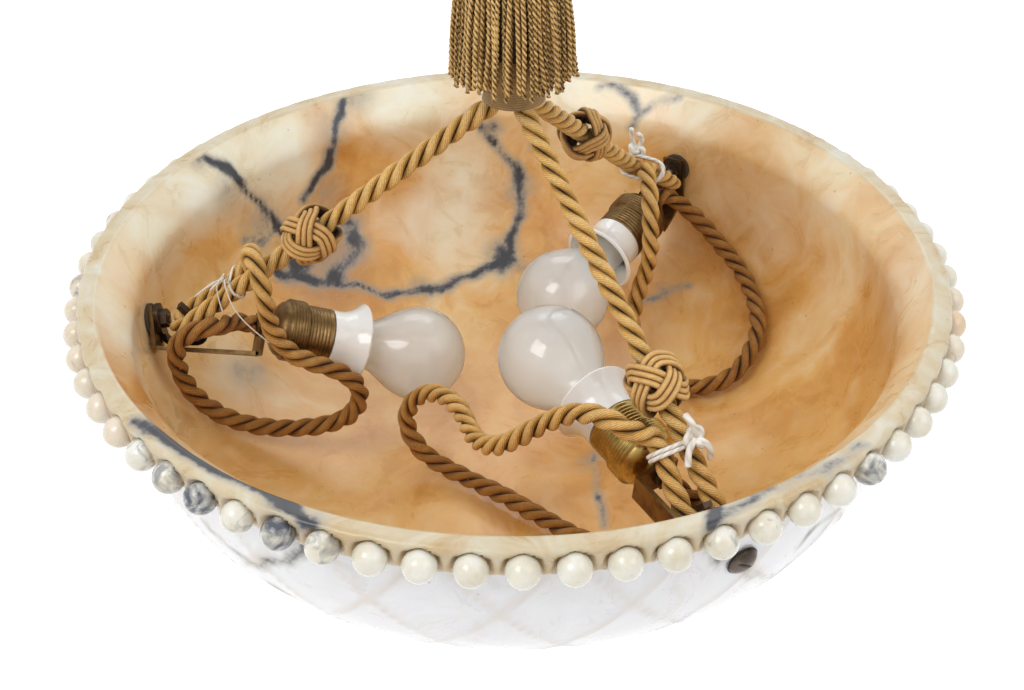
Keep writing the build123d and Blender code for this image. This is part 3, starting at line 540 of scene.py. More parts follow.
def stone_point(px, py, side):
    # Where a point of the photograph lies on the stone: its inside, its lip's land or its outside.
    middle_x, middle_y, focal = 512, 345, 1532.0
    sight = np.array(ahead + view_right * ((px - middle_x) / focal)
                     - view_up * ((py - middle_y) / focal))
    start = np.array(camera_place)
    on_land = start + sight * ((lip_height - start[2]) / sight[2])
    if side == "land":
        return on_land
    places = start + np.linspace(0.6, 1.25, 2600)[:, None] * sight
    level = places[:, 2] - lip_height
    reach = np.hypot(places[:, 0], places[:, 1])
    part = section[:inside_rows] if side == "inside" else section[outer_start:-1][::-1]
    wall = np.interp(level, part[:, 1], part[:, 0])
    hits = np.nonzero((reach < wall) & (level < part[-1, 1]) & (level > part[0, 1]))[0]
    if not len(hits):
        return on_land
    return places[hits[-1] if side == "inside" else hits[0]]


# Veins: lines drawn on the stone where the photograph shows them.  Each has its darkness and
# the width in mm over which it fades.
veins = {
    "inside": [
        (0.95, 7, [(189, 152), (212, 162), (238, 179), (255, 199), (273, 217), (283, 236), (290, 250)]),
        (0.85, 7, [(352, 86), (345, 102), (335, 120), (333, 150), (325, 168), (313, 185), (304, 198)]),
        (0.75, 12, [(343, 220), (357, 226), (361, 238), (356, 252), (344, 264), (331, 272)]),
        (1, 10, [(272, 264), (282, 273), (299, 279), (316, 281)]),
        (0.9, 7.5, [(316, 281), (339, 284), (362, 288), (385, 293), (406, 294), (436, 289), (468, 276),
                    (498, 262)]),
        (0.85, 8, [(470, 276), (490, 268), (511, 254), (512, 236), (519, 214), (522, 190), (515, 166)]),
        (0.7, 7, [(515, 166), (498, 144), (482, 130), (470, 118)]),
        (0.6, 7, [(498, 262), (524, 268), (556, 260)]),
        (0.6, 7, [(276, 232), (262, 240), (246, 240)]),
        (0.62, 6, [(598, 88), (612, 82), (634, 96), (640, 112), (630, 126)]),
        (0.55, 6, [(640, 112), (658, 102), (682, 98)]),
        (0.5, 6, [(524, 122), (538, 136), (534, 150)]),
        (0.62, 5.5, [(636, 304), (656, 296), (668, 290), (690, 284)]),
        (0.52, 4.5, [(592, 455), (599, 478), (598, 500), (604, 528)]),
        (0.5, 6, [(240, 364), (252, 374), (262, 370)]),
    ],
    "land": [
        (1.15, 8.5, [(150, 430), (172, 441), (198, 454), (224, 467), (248, 480), (270, 492),
                     (290, 506)]),
        (0.95, 7, [(136, 420), (150, 430)]),
        (1, 7, [(290, 506), (304, 520), (316, 540)]),
        (0.6, 6, [(716, 514), (748, 500), (790, 484), (830, 466), (862, 446)]),
        (0.95, 7, [(714, 508), (712, 528)]),
    ],
    "outside": [
        (1, 7, [(712, 520), (708, 536), (716, 552), (720, 562)]),
        (0.75, 6, [(206, 526), (228, 548), (258, 568), (276, 590), (284, 600)]),
        (0.62, 5, [(262, 560), (284, 560), (310, 542)]),
        (0.55, 5, [(742, 566), (752, 580), (744, 600)]),
        (0.55, 5, [(836, 512), (812, 532), (796, 552)]),
    ],
}
# Blotches: the size in mm, the place in the photograph and the darkness of each.
blotches = {
    "inside": [
        (13, 300, 264, 0.9), (10, 356, 238, 0.85), (9, 336, 274, 0.9), (30, 322, 258, 0.4),
        (18, 262, 224, 0.42), (16, 232, 190, 0.34), (14, 352, 92, 0.6), (12, 333, 130, 0.36),
        (9, 488, 126, 0.6), (7, 197, 158, 0.6), (5, 612, 84, 0.7), (5, 664, 291, 0.65),
        (14, 250, 372, 0.36), (10, 590, 462, 0.3), (12, 520, 190, 0.48), (13, 503, 259, 0.75),
        (16, 330, 196, 0.3), (10, 420, 290, 0.5),
    ],
    "land": [
        (9, 282, 500, 0.9), (8, 306, 524, 0.95), (5, 318, 540, 0.9),
    ],
    "outside": [
        (11, 308, 536, 0.85), (7, 716, 540, 0.9), (8, 278, 590, 0.7),
    ],
}
# Broad washes of colour inside, given alike: cream is above nothing, deep orange is below it.
washes = [
    (46, 262, 150, 1), (40, 400, 104, 0.95), (30, 200, 196, 0.75), (30, 150, 230, 0.6),
    (40, 440, 226, 0.75), (28, 376, 236, 0.45), (30, 470, 176, 0.45), (30, 130, 340, 0.6),
    (24, 236, 378, 0.5), (30, 580, 96, 0.45), (40, 690, 104, 0.4), (36, 770, 236, 0.35),
    (30, 720, 200, 0.3), (34, 900, 300, 0.3), (40, 820, 330, 0.15), (30, 352, 140, -0.35),
    (30, 400, 160, -0.4), (26, 384, 266, -0.6), (34, 210, 262, -0.5), (26, 180, 330, -0.35),
    (36, 480, 90, -0.1), (40, 330, 470, -0.2), (50, 560, 480, -0.25), (40, 730, 150, -0.2),
    (30, 333, 245, -0.5), (34, 640, 170, -0.35), (30, 800, 420, -0.3),
]


def to_segments(points, a, b):
    line = b - a
    share = np.clip((points - a) @ line / (line @ line), 0, 1)
    return np.linalg.norm(points - (a + share[:, None] * line), axis=1)


def near_spot(points, side, size, px, py):
    gap = np.linalg.norm(points - stone_point(px, py, side), axis=1)
    return np.exp(-(gap / (size * 0.001)) ** 2)


def stone_marks(points, inner_side):
    # For each point: how near a vein it is, and how creamy the stone is there.
    vein, cream = np.zeros(len(points)), np.zeros(len(points))
    shown = {"inside": inner_side, "land": 1.0, "outside": 1 - inner_side}
    x, y, z = points.T * 1000
    wander = np.stack([np.sin(y / 9.0 + z / 6.0) + 0.6 * np.sin(x / 4.1 + z / 3.3),
                       np.sin(x / 8.0 - z / 7.0) + 0.6 * np.sin(y / 3.7 + x / 5.0),
                       np.sin(x / 7.0 + y / 10.0)], 1)
    points = points + wander * 0.0013
    for side, lines in veins.items():
        for darkness, width, line in lines:
            places = [stone_point(px, py, side) for px, py in line]
            for a, b in zip(places[:-1], places[1:]):
                near = darkness * np.clip(1 - to_segments(points, a, b) / (width * 0.001), 0, 1)
                vein = np.maximum(vein, near * shown[side])
    for side, spots in blotches.items():
        for size, px, py, darkness in spots:
            vein = np.maximum(vein, darkness * near_spot(points, side, size, px, py) * shown[side])
    for size, px, py, weight in washes:
        cream += weight * near_spot(points, "inside", size, px, py)
    return vein, cream


vein, cream = stone_marks(bowl_points, inside_mask)
bowl_mesh = new_mesh("carved_bowl", bowl_points, bowl_faces)
mark_points(bowl_mesh, vein=vein, cream=cream, inner=inside_mask, stain=stain)
shade_smooth(bowl_mesh)
bowl = new_piece("carved_bowl", bowl_mesh)


def colour_ramp(tree, factor, stops):
    ramp = node(tree, "ShaderNodeValToRGB", {"Fac": factor})
    while len(ramp.color_ramp.elements) < len(stops):
        ramp.color_ramp.elements.new(0.5)
    for element, (place, colour) in zip(ramp.color_ramp.elements, stops):
        element.position = place
        element.color = (*colour, 1.0)
    return ramp.outputs["Color"]


def alabaster_finish():
    material, tree, shader = new_finish("alabaster")
    place = own_place(tree)
    sway = noise(tree, place, 7.0, 3.0, 0.55, output="Color")
    shift = node(tree, "ShaderNodeVectorMath", {0: sway, 1: (0.09, 0.09, 0.09)}, operation="MULTIPLY")
    bent = node(tree, "ShaderNodeVectorMath", {0: place, 1: shift.outputs[0]},
                operation="ADD").outputs[0]
    cloud = noise(tree, bent, 9.0, 7.0, 0.6, 0.5)
    wisp = noise(tree, bent, 34.0, 8.0, 0.62, 0.9)
    level = node(tree, "ShaderNodeSeparateXYZ", {0: place}).outputs[2]
    # Inside: honey clouds, going to cream at the lip and where it is purest, to orange elsewhere.
    honey = colour_ramp(tree, cloud, [(0.32, (0.60, 0.275, 0.062)), (0.45, (0.72, 0.385, 0.108)),
                                      (0.56, (0.79, 0.48, 0.165)), (0.68, (0.87, 0.66, 0.34))])
    honey = overlaid(tree, honey, (spread(tree, wisp, 0.48, 0.75, 0.4), (0.90, 0.74, 0.46)),
                     (spread(tree, wisp, 0.45, 0.28, 0.35), (0.50, 0.20, 0.04)))
    near_lip = spread(tree, level, lip_height - 0.085, lip_height - 0.005, 0.45)
    purity = plus(tree, plus(tree, mark(tree, "cream"), near_lip),
                  times(tree, minus(tree, cloud, 0.5), 1.3))
    milk = colour_ramp(tree, wisp, [(0.3, (0.76, 0.66, 0.44)), (0.5, (0.85, 0.80, 0.62)),
                                    (0.7, (0.88, 0.88, 0.77))])
    inside = overlaid(tree, honey, (spread(tree, purity, 0.1, 1.0), milk),
                      (spread(tree, purity, -0.05, -0.75, 0.6), (0.50, 0.225, 0.05)))
    # The lip is warm ivory; outside, the stone is painted nearly white, painted light for the bright
    # light on the outside of the bowl, with grey breath and brown in the cuts.
    lip_tone = colour_ramp(tree, wisp, [(0.32, (0.52, 0.37, 0.19)), (0.5, (0.60, 0.51, 0.34)),
                                        (0.7, (0.66, 0.64, 0.54))])
    # Painted light: the outside is painted near white, paler than the same stone inside.
    ivory = colour_ramp(tree, wisp, [(0.28, (0.74, 0.71, 0.68)), (0.45, (0.82, 0.82, 0.83)),
                                     (0.7, (0.88, 0.89, 0.91))])
    ivory = blend_colours(tree, spread(tree, cloud, 0.55, 0.70, 0.5), ivory, (0.62, 0.62, 0.66))
    below_lip = spread(tree, level, lip_height - 0.014, lip_height - 0.024)
    outside = blend_colours(tree, below_lip, lip_tone, ivory)
    # Veins: a smoky halo, a blue-grey band and a dark middle, all frayed.
    vein_mark = mark(tree, "vein")
    ragged = noise(tree, place, 190.0, 5.0, 0.7)
    fray = plus(tree, minus(tree, wisp, 0.48), times(tree, minus(tree, ragged, 0.5), 0.55))
    frayed = plus(tree, vein_mark, times(tree, fray, spread(tree, vein_mark, 0.02, 0.3)))
    # Brown round the beads' feet and along the lozenge lines, more or less with the grain.
    stained = times(tree, mark(tree, "stain"), spread(tree, wisp, 0.38, 0.62, 0.85, 0.25))
    specks = node(tree, "ShaderNodeTexVoronoi", {"Vector": place, "Scale": 60.0, "Randomness": 1.0})
    stone = overlaid(tree, outside, (mark(tree, "inner"), inside),
                     (spread(tree, frayed, 0.04, 0.52, 0.78), (0.36, 0.33, 0.28)),
                     (spread(tree, frayed, 0.42, 0.68, 0.85), (0.135, 0.14, 0.155)),
                     (spread(tree, frayed, 0.56, 0.76, 0.9), (0.030, 0.033, 0.043)),
                     (stained, (0.52, 0.33, 0.14)),
                     (spread(tree, specks.outputs["Distance"], 0.07, 0.03, 0.35), (0.22, 0.12, 0.05)))
    fill(tree, shader, {
        "Base Color": stone, "Roughness": spread(tree, wisp, 0.3, 0.7, 0.40, 0.22),
        "Normal": bump(tree, 0.25, 0.0006, noise(tree, place, 160.0, 4.0)), "Subsurface Weight": 0.35,
        "Subsurface Radius": (1.0, 0.55, 0.3), "Subsurface Scale": 0.008, "Coat Weight": 0.25,
        "Coat Roughness": 0.12})
    return material


bowl.data.materials.append(alabaster_finish())
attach(bowl, "pendant")
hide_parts("alabaster_bowl")

# The beads, repeated round the fascia by Geometry Nodes.
bead_tree = bpy.data.node_groups.new("bead_row", "GeometryNodeTree")
for title, kind in (("Geometry", "Geometry"), ("Beads", "Int"), ("Ring Radius", "Float"),
                    ("Level", "Float"), ("First Angle", "Float"), ("Bead Radius", "Float"),
                    ("Unevenness", "Float"), ("Seed", "Int"), ("Finish", "Material")):
    bead_tree.interface.new_socket(title, in_out="INPUT", socket_type="NodeSocket" + kind)
bead_tree.interface.new_socket("Geometry", in_out="OUTPUT", socket_type="NodeSocketGeometry")
given = node(bead_tree, "NodeGroupInput").outputs
circle = node(bead_tree, "GeometryNodeMeshCircle", {"Vertices": given["Beads"],
                                                    "Radius": given["Ring Radius"]})
turn = node(bead_tree, "ShaderNodeCombineXYZ", {2: given["First Angle"]})
rise = node(bead_tree, "ShaderNodeCombineXYZ", {2: given["Level"]})
ring = node(bead_tree, "GeometryNodeTransform", {
    "Geometry": circle.outputs[0], "Translation": rise.outputs[0], "Rotation": turn.outputs[0]})
ball = node(bead_tree, "GeometryNodeMeshUVSphere", {"Segments": 28, "Rings": 16,
                                                    "Radius": given["Bead Radius"]})
least, most = minus(bead_tree, 1.0, given["Unevenness"]), plus(bead_tree, 1.0, given["Unevenness"])
sizes = node(bead_tree, "FunctionNodeRandomValue", {"Seed": given["Seed"], 0: least, 1: most},
             data_type="FLOAT_VECTOR")
beads_set = node(bead_tree, "GeometryNodeInstanceOnPoints", {
    "Points": ring.outputs[0], "Instance": ball.outputs[0], "Scale": sizes.outputs[0]})
real = node(bead_tree, "GeometryNodeRealizeInstances", {0: beads_set.outputs[0]})
smooth = node(bead_tree, "GeometryNodeSetShadeSmooth", {0: real.outputs[0]})
finished = node(bead_tree, "GeometryNodeSetMaterial", {"Geometry": smooth.outputs[0],
                                                       "Material": given["Finish"]})
node(bead_tree, "NodeGroupOutput", {0: finished.outputs[0]})


def bead_finish():
    # The beads are the same stone, whiter and more see-through, some of them veined or warm.
    material, tree, shader = new_finish("bead_stone")
    place = own_place(tree)
    tone = colour_ramp(tree, noise(tree, place, 60.0, 6.0, 0.6), [
        (0.3, (0.66, 0.60, 0.46)), (0.5, (0.76, 0.73, 0.63)), (0.7, (0.82, 0.82, 0.78))])
    swirl = noise(tree, place, 110.0, 5.0, 0.5, 1.5)
    mottled = spread(tree, plus(tree, swirl, mark(tree, "grey")), 0.70, 1.05)
    tone = overlaid(tree, tone, (mark(tree, "warm"), (0.70, 0.40, 0.16)),
                    (mottled, (0.085, 0.095, 0.125)))
    fill(tree, shader, {"Base Color": tone, "Roughness": 0.2, "Subsurface Weight": 0.4,
                        "Subsurface Radius": (1.0, 0.7, 0.4), "Subsurface Scale": 0.004,
                        "Coat Weight": 0.4, "Coat Roughness": 0.08})
    return material


bead_maker = new_piece("bead_row_maker", new_mesh("bead_row", [(0, 0, 0)], []))
maker = bead_maker.modifiers.new("bead_row", "NODES")
maker.node_group = bead_tree
bead_values = {"Beads": bead_count, "Ring Radius": bead_ring, "Level": lip_height + bead_level,
               "First Angle": first_bead, "Bead Radius": bead_size * 1.02, "Unevenness": 0.014,
               "Seed": 5, "Finish": bead_finish()}
for item in bead_tree.interface.items_tree:
    if item.in_out == "INPUT" and item.name in bead_values:
        maker[item.identifier] = bead_values[item.name]
bead_mesh = evaluated_mesh(bead_maker)
bpy.data.objects.remove(bead_maker)
beads = new_piece("bead_row", bead_mesh)
bead_places = points_of(bead_mesh)
bead_turn = (np.arctan2(bead_places[:, 1], bead_places[:, 0]) - first_bead) % (2 * np.pi)
bead_number = np.round(bead_turn / step) % bead_count
# How grey and how warm the beads are that stand out in the photograph, by their number.
bead_marks = {
    "grey": {2: 0.18, 3: 0.36, 4: 0.46, 5: 0.14, 6: 0.48, 7: 0.24, 15: 0.16, 16: 0.08, 19: 0.34,
             24: 0.12, 58: 0.2, 61: 0.3},
    "warm": {0: 0.2, 1: 0.25, 24: 0.15, 25: 0.5, 26: 0.25, 40: 0.2, 47: 0.3, 60: 0.15, 61: 0.2,
             62: 0.15, 63: 0.2, 64: 0.25, 65: 0.15},
}
for key, amounts in bead_marks.items():
    mark_points(bead_mesh, **{key: [amounts.get(int(number), 0.0) for number in bead_number]})
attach(beads, "pendant")

# ---- Lampholders ----------------------------------------------------------------------------
# Spun brass: a domed cap and a shell with a ribbed ring, round a porcelain core.  The front one is
# bright, the other two have gone brown.  A white porcelain ring screws into each shell.


def soiled_finish(name, clean, dirty, soiling_sizes, looks, relief=None, by_grain=False):
    # A finish that goes from one tone to another where it is soiled; relief is the strength and
    # the depth in m of its fine grain.
    material, tree, shader = new_finish(name)
    patches, grain = place_soiling(tree, *soiling_sizes)
    tone = blend_colours(tree, grain if by_grain else patches, clean, dirty)
    fill(tree, shader, {"Base Color": tone, **looks})
    if relief:
        fill(tree, shader, {"Normal": bump(tree, *relief, grain)})
    return material, tree, shader, patches


def brass_finish(name, bright, dull, tarnish, roughness):
    material, tree, shader, patches = soiled_finish(
        name, bright, dull, (70.0, 1200.0, tarnish), {"Metallic": 1.0}, (0.15, 0.0002))
    fill(tree, shader, {"Roughness": spread(tree, patches, 0.0, 1.0, roughness + 0.25, roughness)})
    return material


bright_brass = brass_finish("bright_brass", (0.66, 0.49, 0.17), (0.24, 0.155, 0.045), 0.8, 0.2)
aged_brass = brass_finish("aged_brass", (0.30, 0.19, 0.08), (0.10, 0.055, 0.022), 0.9, 0.30)
porcelain, *_ = soiled_finish("porcelain", (0.84, 0.84, 0.82), (0.66, 0.60, 0.48), (45.0, 800.0, 0.14),
                              {"Roughness": 0.16, "Coat Weight": 0.6, "Coat Roughness": 0.04})


def dress(names, material):
    # Gives CAD nodes a finish.
    for name in names:
        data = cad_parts[name].data
        data.materials.clear()
        data.materials.append(material)


def cross_directions(axis):
    # Two directions square to an axis and to each other.
    side = unit(np.cross(axis, (0, 0, 1)))
    return side, np.cross(axis, side)


def point_outward(mesh):
    # Merges a mesh's doubled points and turns its faces outward.
    solid = bmesh.new()
    solid.from_mesh(mesh)
    bmesh.ops.remove_doubles(solid, verts=solid.verts, dist=0.000001)
    bmesh.ops.recalc_face_normals(solid, faces=solid.faces)
    solid.to_mesh(mesh)
    solid.free()


def turned(name, profile, origin, axis, faces_round=96):
    # A solid of revolution from a closed profile of (radius, distance along the axis) in mm.
    origin, axis = np.array(origin), np.array(axis) / np.linalg.norm(axis)
    side, other = cross_directions(axis)
    angle = round_angles(faces_round)
    around = np.cos(angle)[:, None] * side + np.sin(angle)[:, None] * other
    points = np.array([origin + (z * axis + r * around) * 0.001 for r, z in profile]).reshape(-1, 3)
    faces = []
    for i in range(len(profile)):
        low, high = i * faces_round, (i + 1) % len(profile) * faces_round
        for j in range(faces_round):
            k = (j + 1) % faces_round
            faces.append((low + j, low + k, high + k, high + j))
    mesh = new_mesh(name, points, faces)
    point_outward(mesh)
    shade_smooth(mesh)
    return new_piece(name, mesh)


# Collar and short dome, a wide ribbed ring, a deep groove, and the skirt with its fine lines.
shell_outside = [(5.3, 0.3), (7.6, 0.6), (7.8, 2.6), (9.0, 3.2), (12.0, 4.2), (14.6, 5.8), (16.4, 7.8),
                 (17.4, 10.0), (17.5, 10.8), (18.6, 11.1)]
for rib in range(5):
    start = 11.5 + rib * 1.9
    shell_outside += [(18.7, start), (19.15, start + 0.35), (19.15, start + 1.05), (18.6, start + 1.35),
                      (18.4, start + 1.6)]
shell_outside += [(18.9, 21.3), (18.4, 21.8), (16.6, 22.1), (16.4, 22.7), (17.1, 23.1)]
for line in range(6):
    start = 23.3 + line * 2.2
    shell_outside += [(17.2, start), (17.4, start + 0.5), (17.3, start + 1.1), (16.75, start + 1.4),
                      (16.75, start + 1.8)]
shell_outside += [(17.3, 37.0), (17.45, 37.5), (17.4, 38.1), (17.0, 38.5)]
shell_inside = [(16.2, 38.4), (16.1, 37.9), (16.1, 11.5), (15.2, 8.6), (13.0, 6.4), (9.6, 4.6),
                (6.6, 4.2), (5.3, 4.0)]
# Where each holder's back face stands, and which way it points.
holders = {
    "front": ((0.0758097, -0.142049, -0.3197), (-0.55128, 0.823492, 0.133986)),
    "rear": ((0.0916427, 0.139738, -0.3257), (-0.59925, -0.775339, -0.199368)),
    "left": ((-0.150904, 0.00616165, -0.3297), (0.893228, 0.236001, -0.382683)),
}
for station, (back, forward) in holders.items():
    dress(["holder_nipple_" + station], aged_brass)
    dress(["holder_core_" + station, "shade_ring_" + station], porcelain)
    shell = turned("ribbed_shell_" + station, shell_outside + shell_inside, back, forward)
    shell.data.materials.append(bright_brass if station == "front" else aged_brass)
    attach(shell, "pendant")
    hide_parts("holder_shell_" + station, "holder_dome_" + station)
dress(["terminal_block"], porcelain)

# ---- Bulbs ----------------------------------------------------------------------------------
# Three blown pear-shaped bulbs, 60 mm wide, frosted on the inside and glossy outside.  Each is
# cemented into a plated cap, which screws into its lampholder.
frosted_glass, glass_tree, glass_shader, _ = soiled_finish(
    "frosted_glass", (0.90, 0.92, 0.92), (0.84, 0.85, 0.83), (30.0, 500.0, 0.3),
    {"Roughness": 0.42, "Transmission Weight": 0.78, "IOR": 1.12, "Coat Weight": 1.0,
     "Coat Roughness": 0.03})
# Thin glass lets most of the light on to the bowl behind it.
shadow_ray = node(glass_tree, "ShaderNodeLightPath").outputs["Is Shadow Ray"]
fill(glass_tree, glass_shader, {"Alpha": minus(glass_tree, 1.0, times(glass_tree, shadow_ray, 0.75))})
lamp_cap, *_ = soiled_finish("lamp_cap", (0.62, 0.60, 0.56), (0.30, 0.26, 0.20), (90.0, 900.0, 0.5),
                             {"Metallic": 1.0, "Roughness": 0.3})
for station in holders:
    dress(["bulb_glass_" + station], frosted_glass)
    dress(["bulb_cap_" + station], lamp_cap)

# ---- Hooks, brackets and bolts ----------------------------------------------------------------
# A domed bolt goes through the wall at each station and holds a felt pad, a brass strap bracket
# and a forged iron hook under its nut.
dark_iron, *_ = soiled_finish("dark_iron", (0.045, 0.034, 0.028), (0.13, 0.085, 0.055),
                              (120.0, 1400.0, 0.8), {"Metallic": 0.8, "Roughness": 0.36}, (0.5, 0.0003))
felt, *_ = soiled_finish("felt", (0.035, 0.028, 0.022), (0.11, 0.085, 0.06), (200.0, 2500.0, 0.8),
                         {"Roughness": 0.9}, (0.8, 0.0006), by_grain=True)
dress(["bolt_nuts", "rod_nuts"], dark_iron)
dress(["wall_pads"], felt)
for station in holders:
    dress(["wall_hook_" + station], dark_iron)
    dress(["lamp_bracket_" + station], aged_brass)
# The bolts' heads, spread a little and seated on the carved wall: the solids' heads sit in it.
bolts_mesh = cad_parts["wall_bolts"].data.copy()
point_outward(bolts_mesh)
head_height, head_spread, head_lift, bolt_lean = 0.0043, 1.16, 0.0014, math.radians(7.9)
bolt_places = points_of(bolts_mesh)
bolt_angle = np.arctan2(bolt_places[:, 1], bolt_places[:, 0])
for angle in np.radians((-61, 61, 180)):
    mine = np.abs((bolt_angle - angle + np.pi) % (2 * np.pi) - np.pi) < 0.6
    middle = bolt_places[mine].min(0) * 0.5 + bolt_places[mine].max(0) * 0.5
    heading = math.atan2(middle[1], middle[0])
    out = np.array([math.cos(heading) * math.cos(bolt_lean), math.sin(heading) * math.cos(bolt_lean),
                    -math.sin(bolt_lean)])
    run = (bolt_places - middle) @ out
    head = mine & (run > run[mine].max() - head_height)
    beside = bolt_places[head] - middle - run[head][:, None] * out
    bolt_places[head] = middle + (run[head] + head_lift)[:, None] * out + beside * head_spread
bolts_mesh.vertices.foreach_set("co", bolt_places.ravel())
shade_smooth(bolts_mesh)
bolts_mesh.set_sharp_from_angle(angle=0.6)
bolts_mesh.update()
bolts = new_piece("domed_bolts", bolts_mesh)
bolts_mesh.materials.clear()
bolt_bronze = brass_finish("bolt_bronze", (0.12, 0.095, 0.075), (0.05, 0.038, 0.03), 0.8, 0.24)
bolts_mesh.materials.append(bolt_bronze)
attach(bolts, "pendant")
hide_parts("wall_bolts")

# ---- Sliding knots ----------------------------------------------------------------------------
# On each rope a woven ball of stiff cord, three cords side by side, plaited round and round.  It
# grips the taut rope and slides along it.
# For each rope: where it leaves its hook, which way, and how far along its knot and its tie are.
slings = {
    "front": ((0.102004, -0.166448, -0.3201), (-0.41379, 0.672408, 0.613714), 0.068, 0.033),
    "rear": ((0.0931459, 0.171562, -0.3201), (-0.375427, -0.694557, 0.613714), 0.131, 0.037),
    "left": ((-0.19515, -0.00511421, -0.3201), (0.789218, 0.022149, 0.613714), 0.099, 0.040),
}
knot_cord = yarn_finish("knot_cord", (0.68, 0.40, 0.135), (0.48, 0.245, 0.065), 9, 3.0, 0.0001, 0.12)
cord_radius, cord_spacing = 0.00165, 0.0034


def knot_path(start_angle):
    # A plait of three leads and four bights round a barrel, over and under in turn.
    leads, bights, count = 3, 4, 420
    t = np.linspace(0, 2 * np.pi * leads, count, endpoint=False)
    crossing = t * bights / np.pi
    whole = np.floor(crossing).astype(int)
    ease = (1 - np.cos((crossing - whole) * np.pi)) / 2
    lift = np.array([0.0, 1.0, -1.0])
    over = lift[whole % leads] * (1 - ease) + lift[(whole + 1) % leads] * ease
    high = 0.0102 * np.cos(bights * t / leads)
    barrel = 0.0092 + 0.0040 * np.sqrt(np.clip(1 - (high / 0.0125) ** 2, 0, 1))
    return t + start_angle, barrel + 0.0016 * over, high


def section_grooves(tubes, faces_round, middle, depth):
    # Painted light round each strand's section: a painted highlight on its crown, painted shade where
    # it meets the next.
    around = np.clip(middle - depth * np.cos(round_angles(faces_round)), -0.4, 0.9)
    rings = [(len(points) - 2) // faces_round for points, *_ in tubes]
    return np.concatenate([np.append(np.tile(around, count), [0, 0]) for count in rings])


def closed_up(points):
    # A loop's points, with the first two again to close it.
    return np.vstack([points, points[:2]])


for number, (station, (hook_point, toward, knot_at, _)) in enumerate(slings.items()):
    center, axis = np.array(hook_point) + np.array(toward) * knot_at, np.array(toward)
    side, other = cross_directions(axis)
    turn, reach, high = knot_path(0.8 * number)
    around = np.cos(turn)[:, None] * side + np.sin(turn)[:, None] * other
    closed = closed_up(center + reach[:, None] * around + high[:, None] * axis)
    outward = unit(closed - center - ((closed - center) @ axis)[:, None] * axis * 0.6)
    beside = unit(np.cross(unit(np.gradient(closed, axis=0)), outward))
    cords = [tube(closed + beside * shift, outward, cord_radius, 10, 0.006)
             for shift in (-cord_spacing, 0.0, cord_spacing)]
    # Painted shade between the knot's cords and a painted highlight on their crowns.
    grooves = section_grooves(cords, 10, 0.75, 1.15)
    knot = strands_mesh("woven_knot_" + station, cords, groove=grooves,
                        age=np.full(len(grooves), 0.3 if station == "front" else 0.6))
    knot.data.materials.append(knot_cord)
    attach(knot, "knot_" + station)
    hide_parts("rope_knot_" + station)

# ---- String ties ------------------------------------------------------------------------------
# A few turns of white string bind each rope's end back to the rope above its hook, with a knot
# and loose ends.


def string_finish():
    material, tree, shader = new_finish("white_string")
    along, around = strand_lay(tree)
    twist = ridges(tree, plus(tree, along, times(tree, around, 2.0)))
    # Painted shade in the grooves of the twist, pale on its ridges.
    tone = blend_colours(tree, twist, (0.62, 0.58, 0.50), (0.86, 0.84, 0.79))
    fill(tree, shader, {"Base Color": tone, "Normal": bump(tree, 0.6, 0.0002, twist), "Roughness": 0.8})
    return material


white_string = string_finish()
# The string's thickness, and its loose ends' points along, across and above the tie; all in mm.
tie_ends = {
    "front": (
        3.6,
        [(2, -1, 16), (7, -3, 20), (12, -4, 19)],
        [(-4, 2, 15), (-9, 5, 12), (-12, 6, 6)],
        [(-2, -4, 14), (-6, -8, 11), (-12, -10, 9)],
    ),
    "rear": (
        3.4,
        [(3, 3, 15), (7, 4, 19), (12, 3, 22)],
        [(-2, -2, 15), (-5, -3, 10), (-10, -4, 8)],
        [(3, -3, 15), (6, -4, 19), (11, -2, 20)],
    ),
    "left": (
        0.8,
        [(-2, 4, 14), (-8, 12, 17), (-16, 13, 17), (-19, 6, 14), (-12, 0, 12), (-3, 0, 11)],
        [(4, 3, 14), (6, 10, 16), (0, 16, 16), (-8, 12, 14), (-4, 4, 12), (0, 1, 11)],
        [(2, 4, 13), (-1, 10, 6), (-4, 14, -4), (-4, 17, -18), (-2, 18, -32)],
        [(-4, 3, 13), (-9, 7, 6), (-13, 9, -3)],
    ),
}
half_straight = 0.0076
for station, (hook_point, toward, _, tie_at) in slings.items():
    axis = np.array(toward)
    across, lift = cross_directions(axis)
    lift = lift if lift[2] > 0 else -lift
    spin = np.cross((0, 0, 1), np.array(hook_point) * (1, 1, 0))
    across = across if across @ spin > 0 else -across
    center = np.array(hook_point) + axis * tie_at
    thickness, *loose_ends = tie_ends[station]
    thickness = thickness / 1000
    wound = min(thickness, 0.0024)
    reach = 0.0058 + wound * 0.55 + 0.0002
    share = np.linspace(0, 2.0, 150)[:, None]
    cosine, sine = np.cos(share * 2 * np.pi), np.sin(share * 2 * np.pi)
    beside = -half_straight + reach * cosine + half_straight * np.tanh(4 * cosine)
    loops = center + across * beside + lift * (reach * sine) + axis * ((share - 1.0) * wound * 1.05)
    knot_center = center + lift * (reach + thickness)
    ties = [tube(loops, unit(loops - center), wound / 2, 8, wound * 2.2)]
    t = np.linspace(0, 2 * np.pi, 60, endpoint=False)[:, None]
    trefoil = closed_up(knot_center + thickness * 0.5 * (
        (np.sin(t) + 2 * np.sin(2 * t)) * axis + (np.cos(t) - 2 * np.cos(2 * t)) * across
        - np.sin(3 * t) * lift))
    ties.append(tube(trefoil, unit(trefoil - knot_center), thickness * 0.55, 8, thickness * 2.2))
    for end in loose_ends:
        places = np.vstack([knot_center, center + np.array(end) / 1000 @ (axis, across, lift)])
        line = spline_path("string_end", places.tolist())
        outward = np.tile(lift + across * 0.3, (len(line), 1))
        ties.append(tube(line, outward, thickness / 2, 8, thickness * 2.2))
    tie = strands_mesh("string_wound_" + station, ties)
    tie.data.materials.append(white_string)
    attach(tie, "pendant")
    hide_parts("string_tie_" + station)

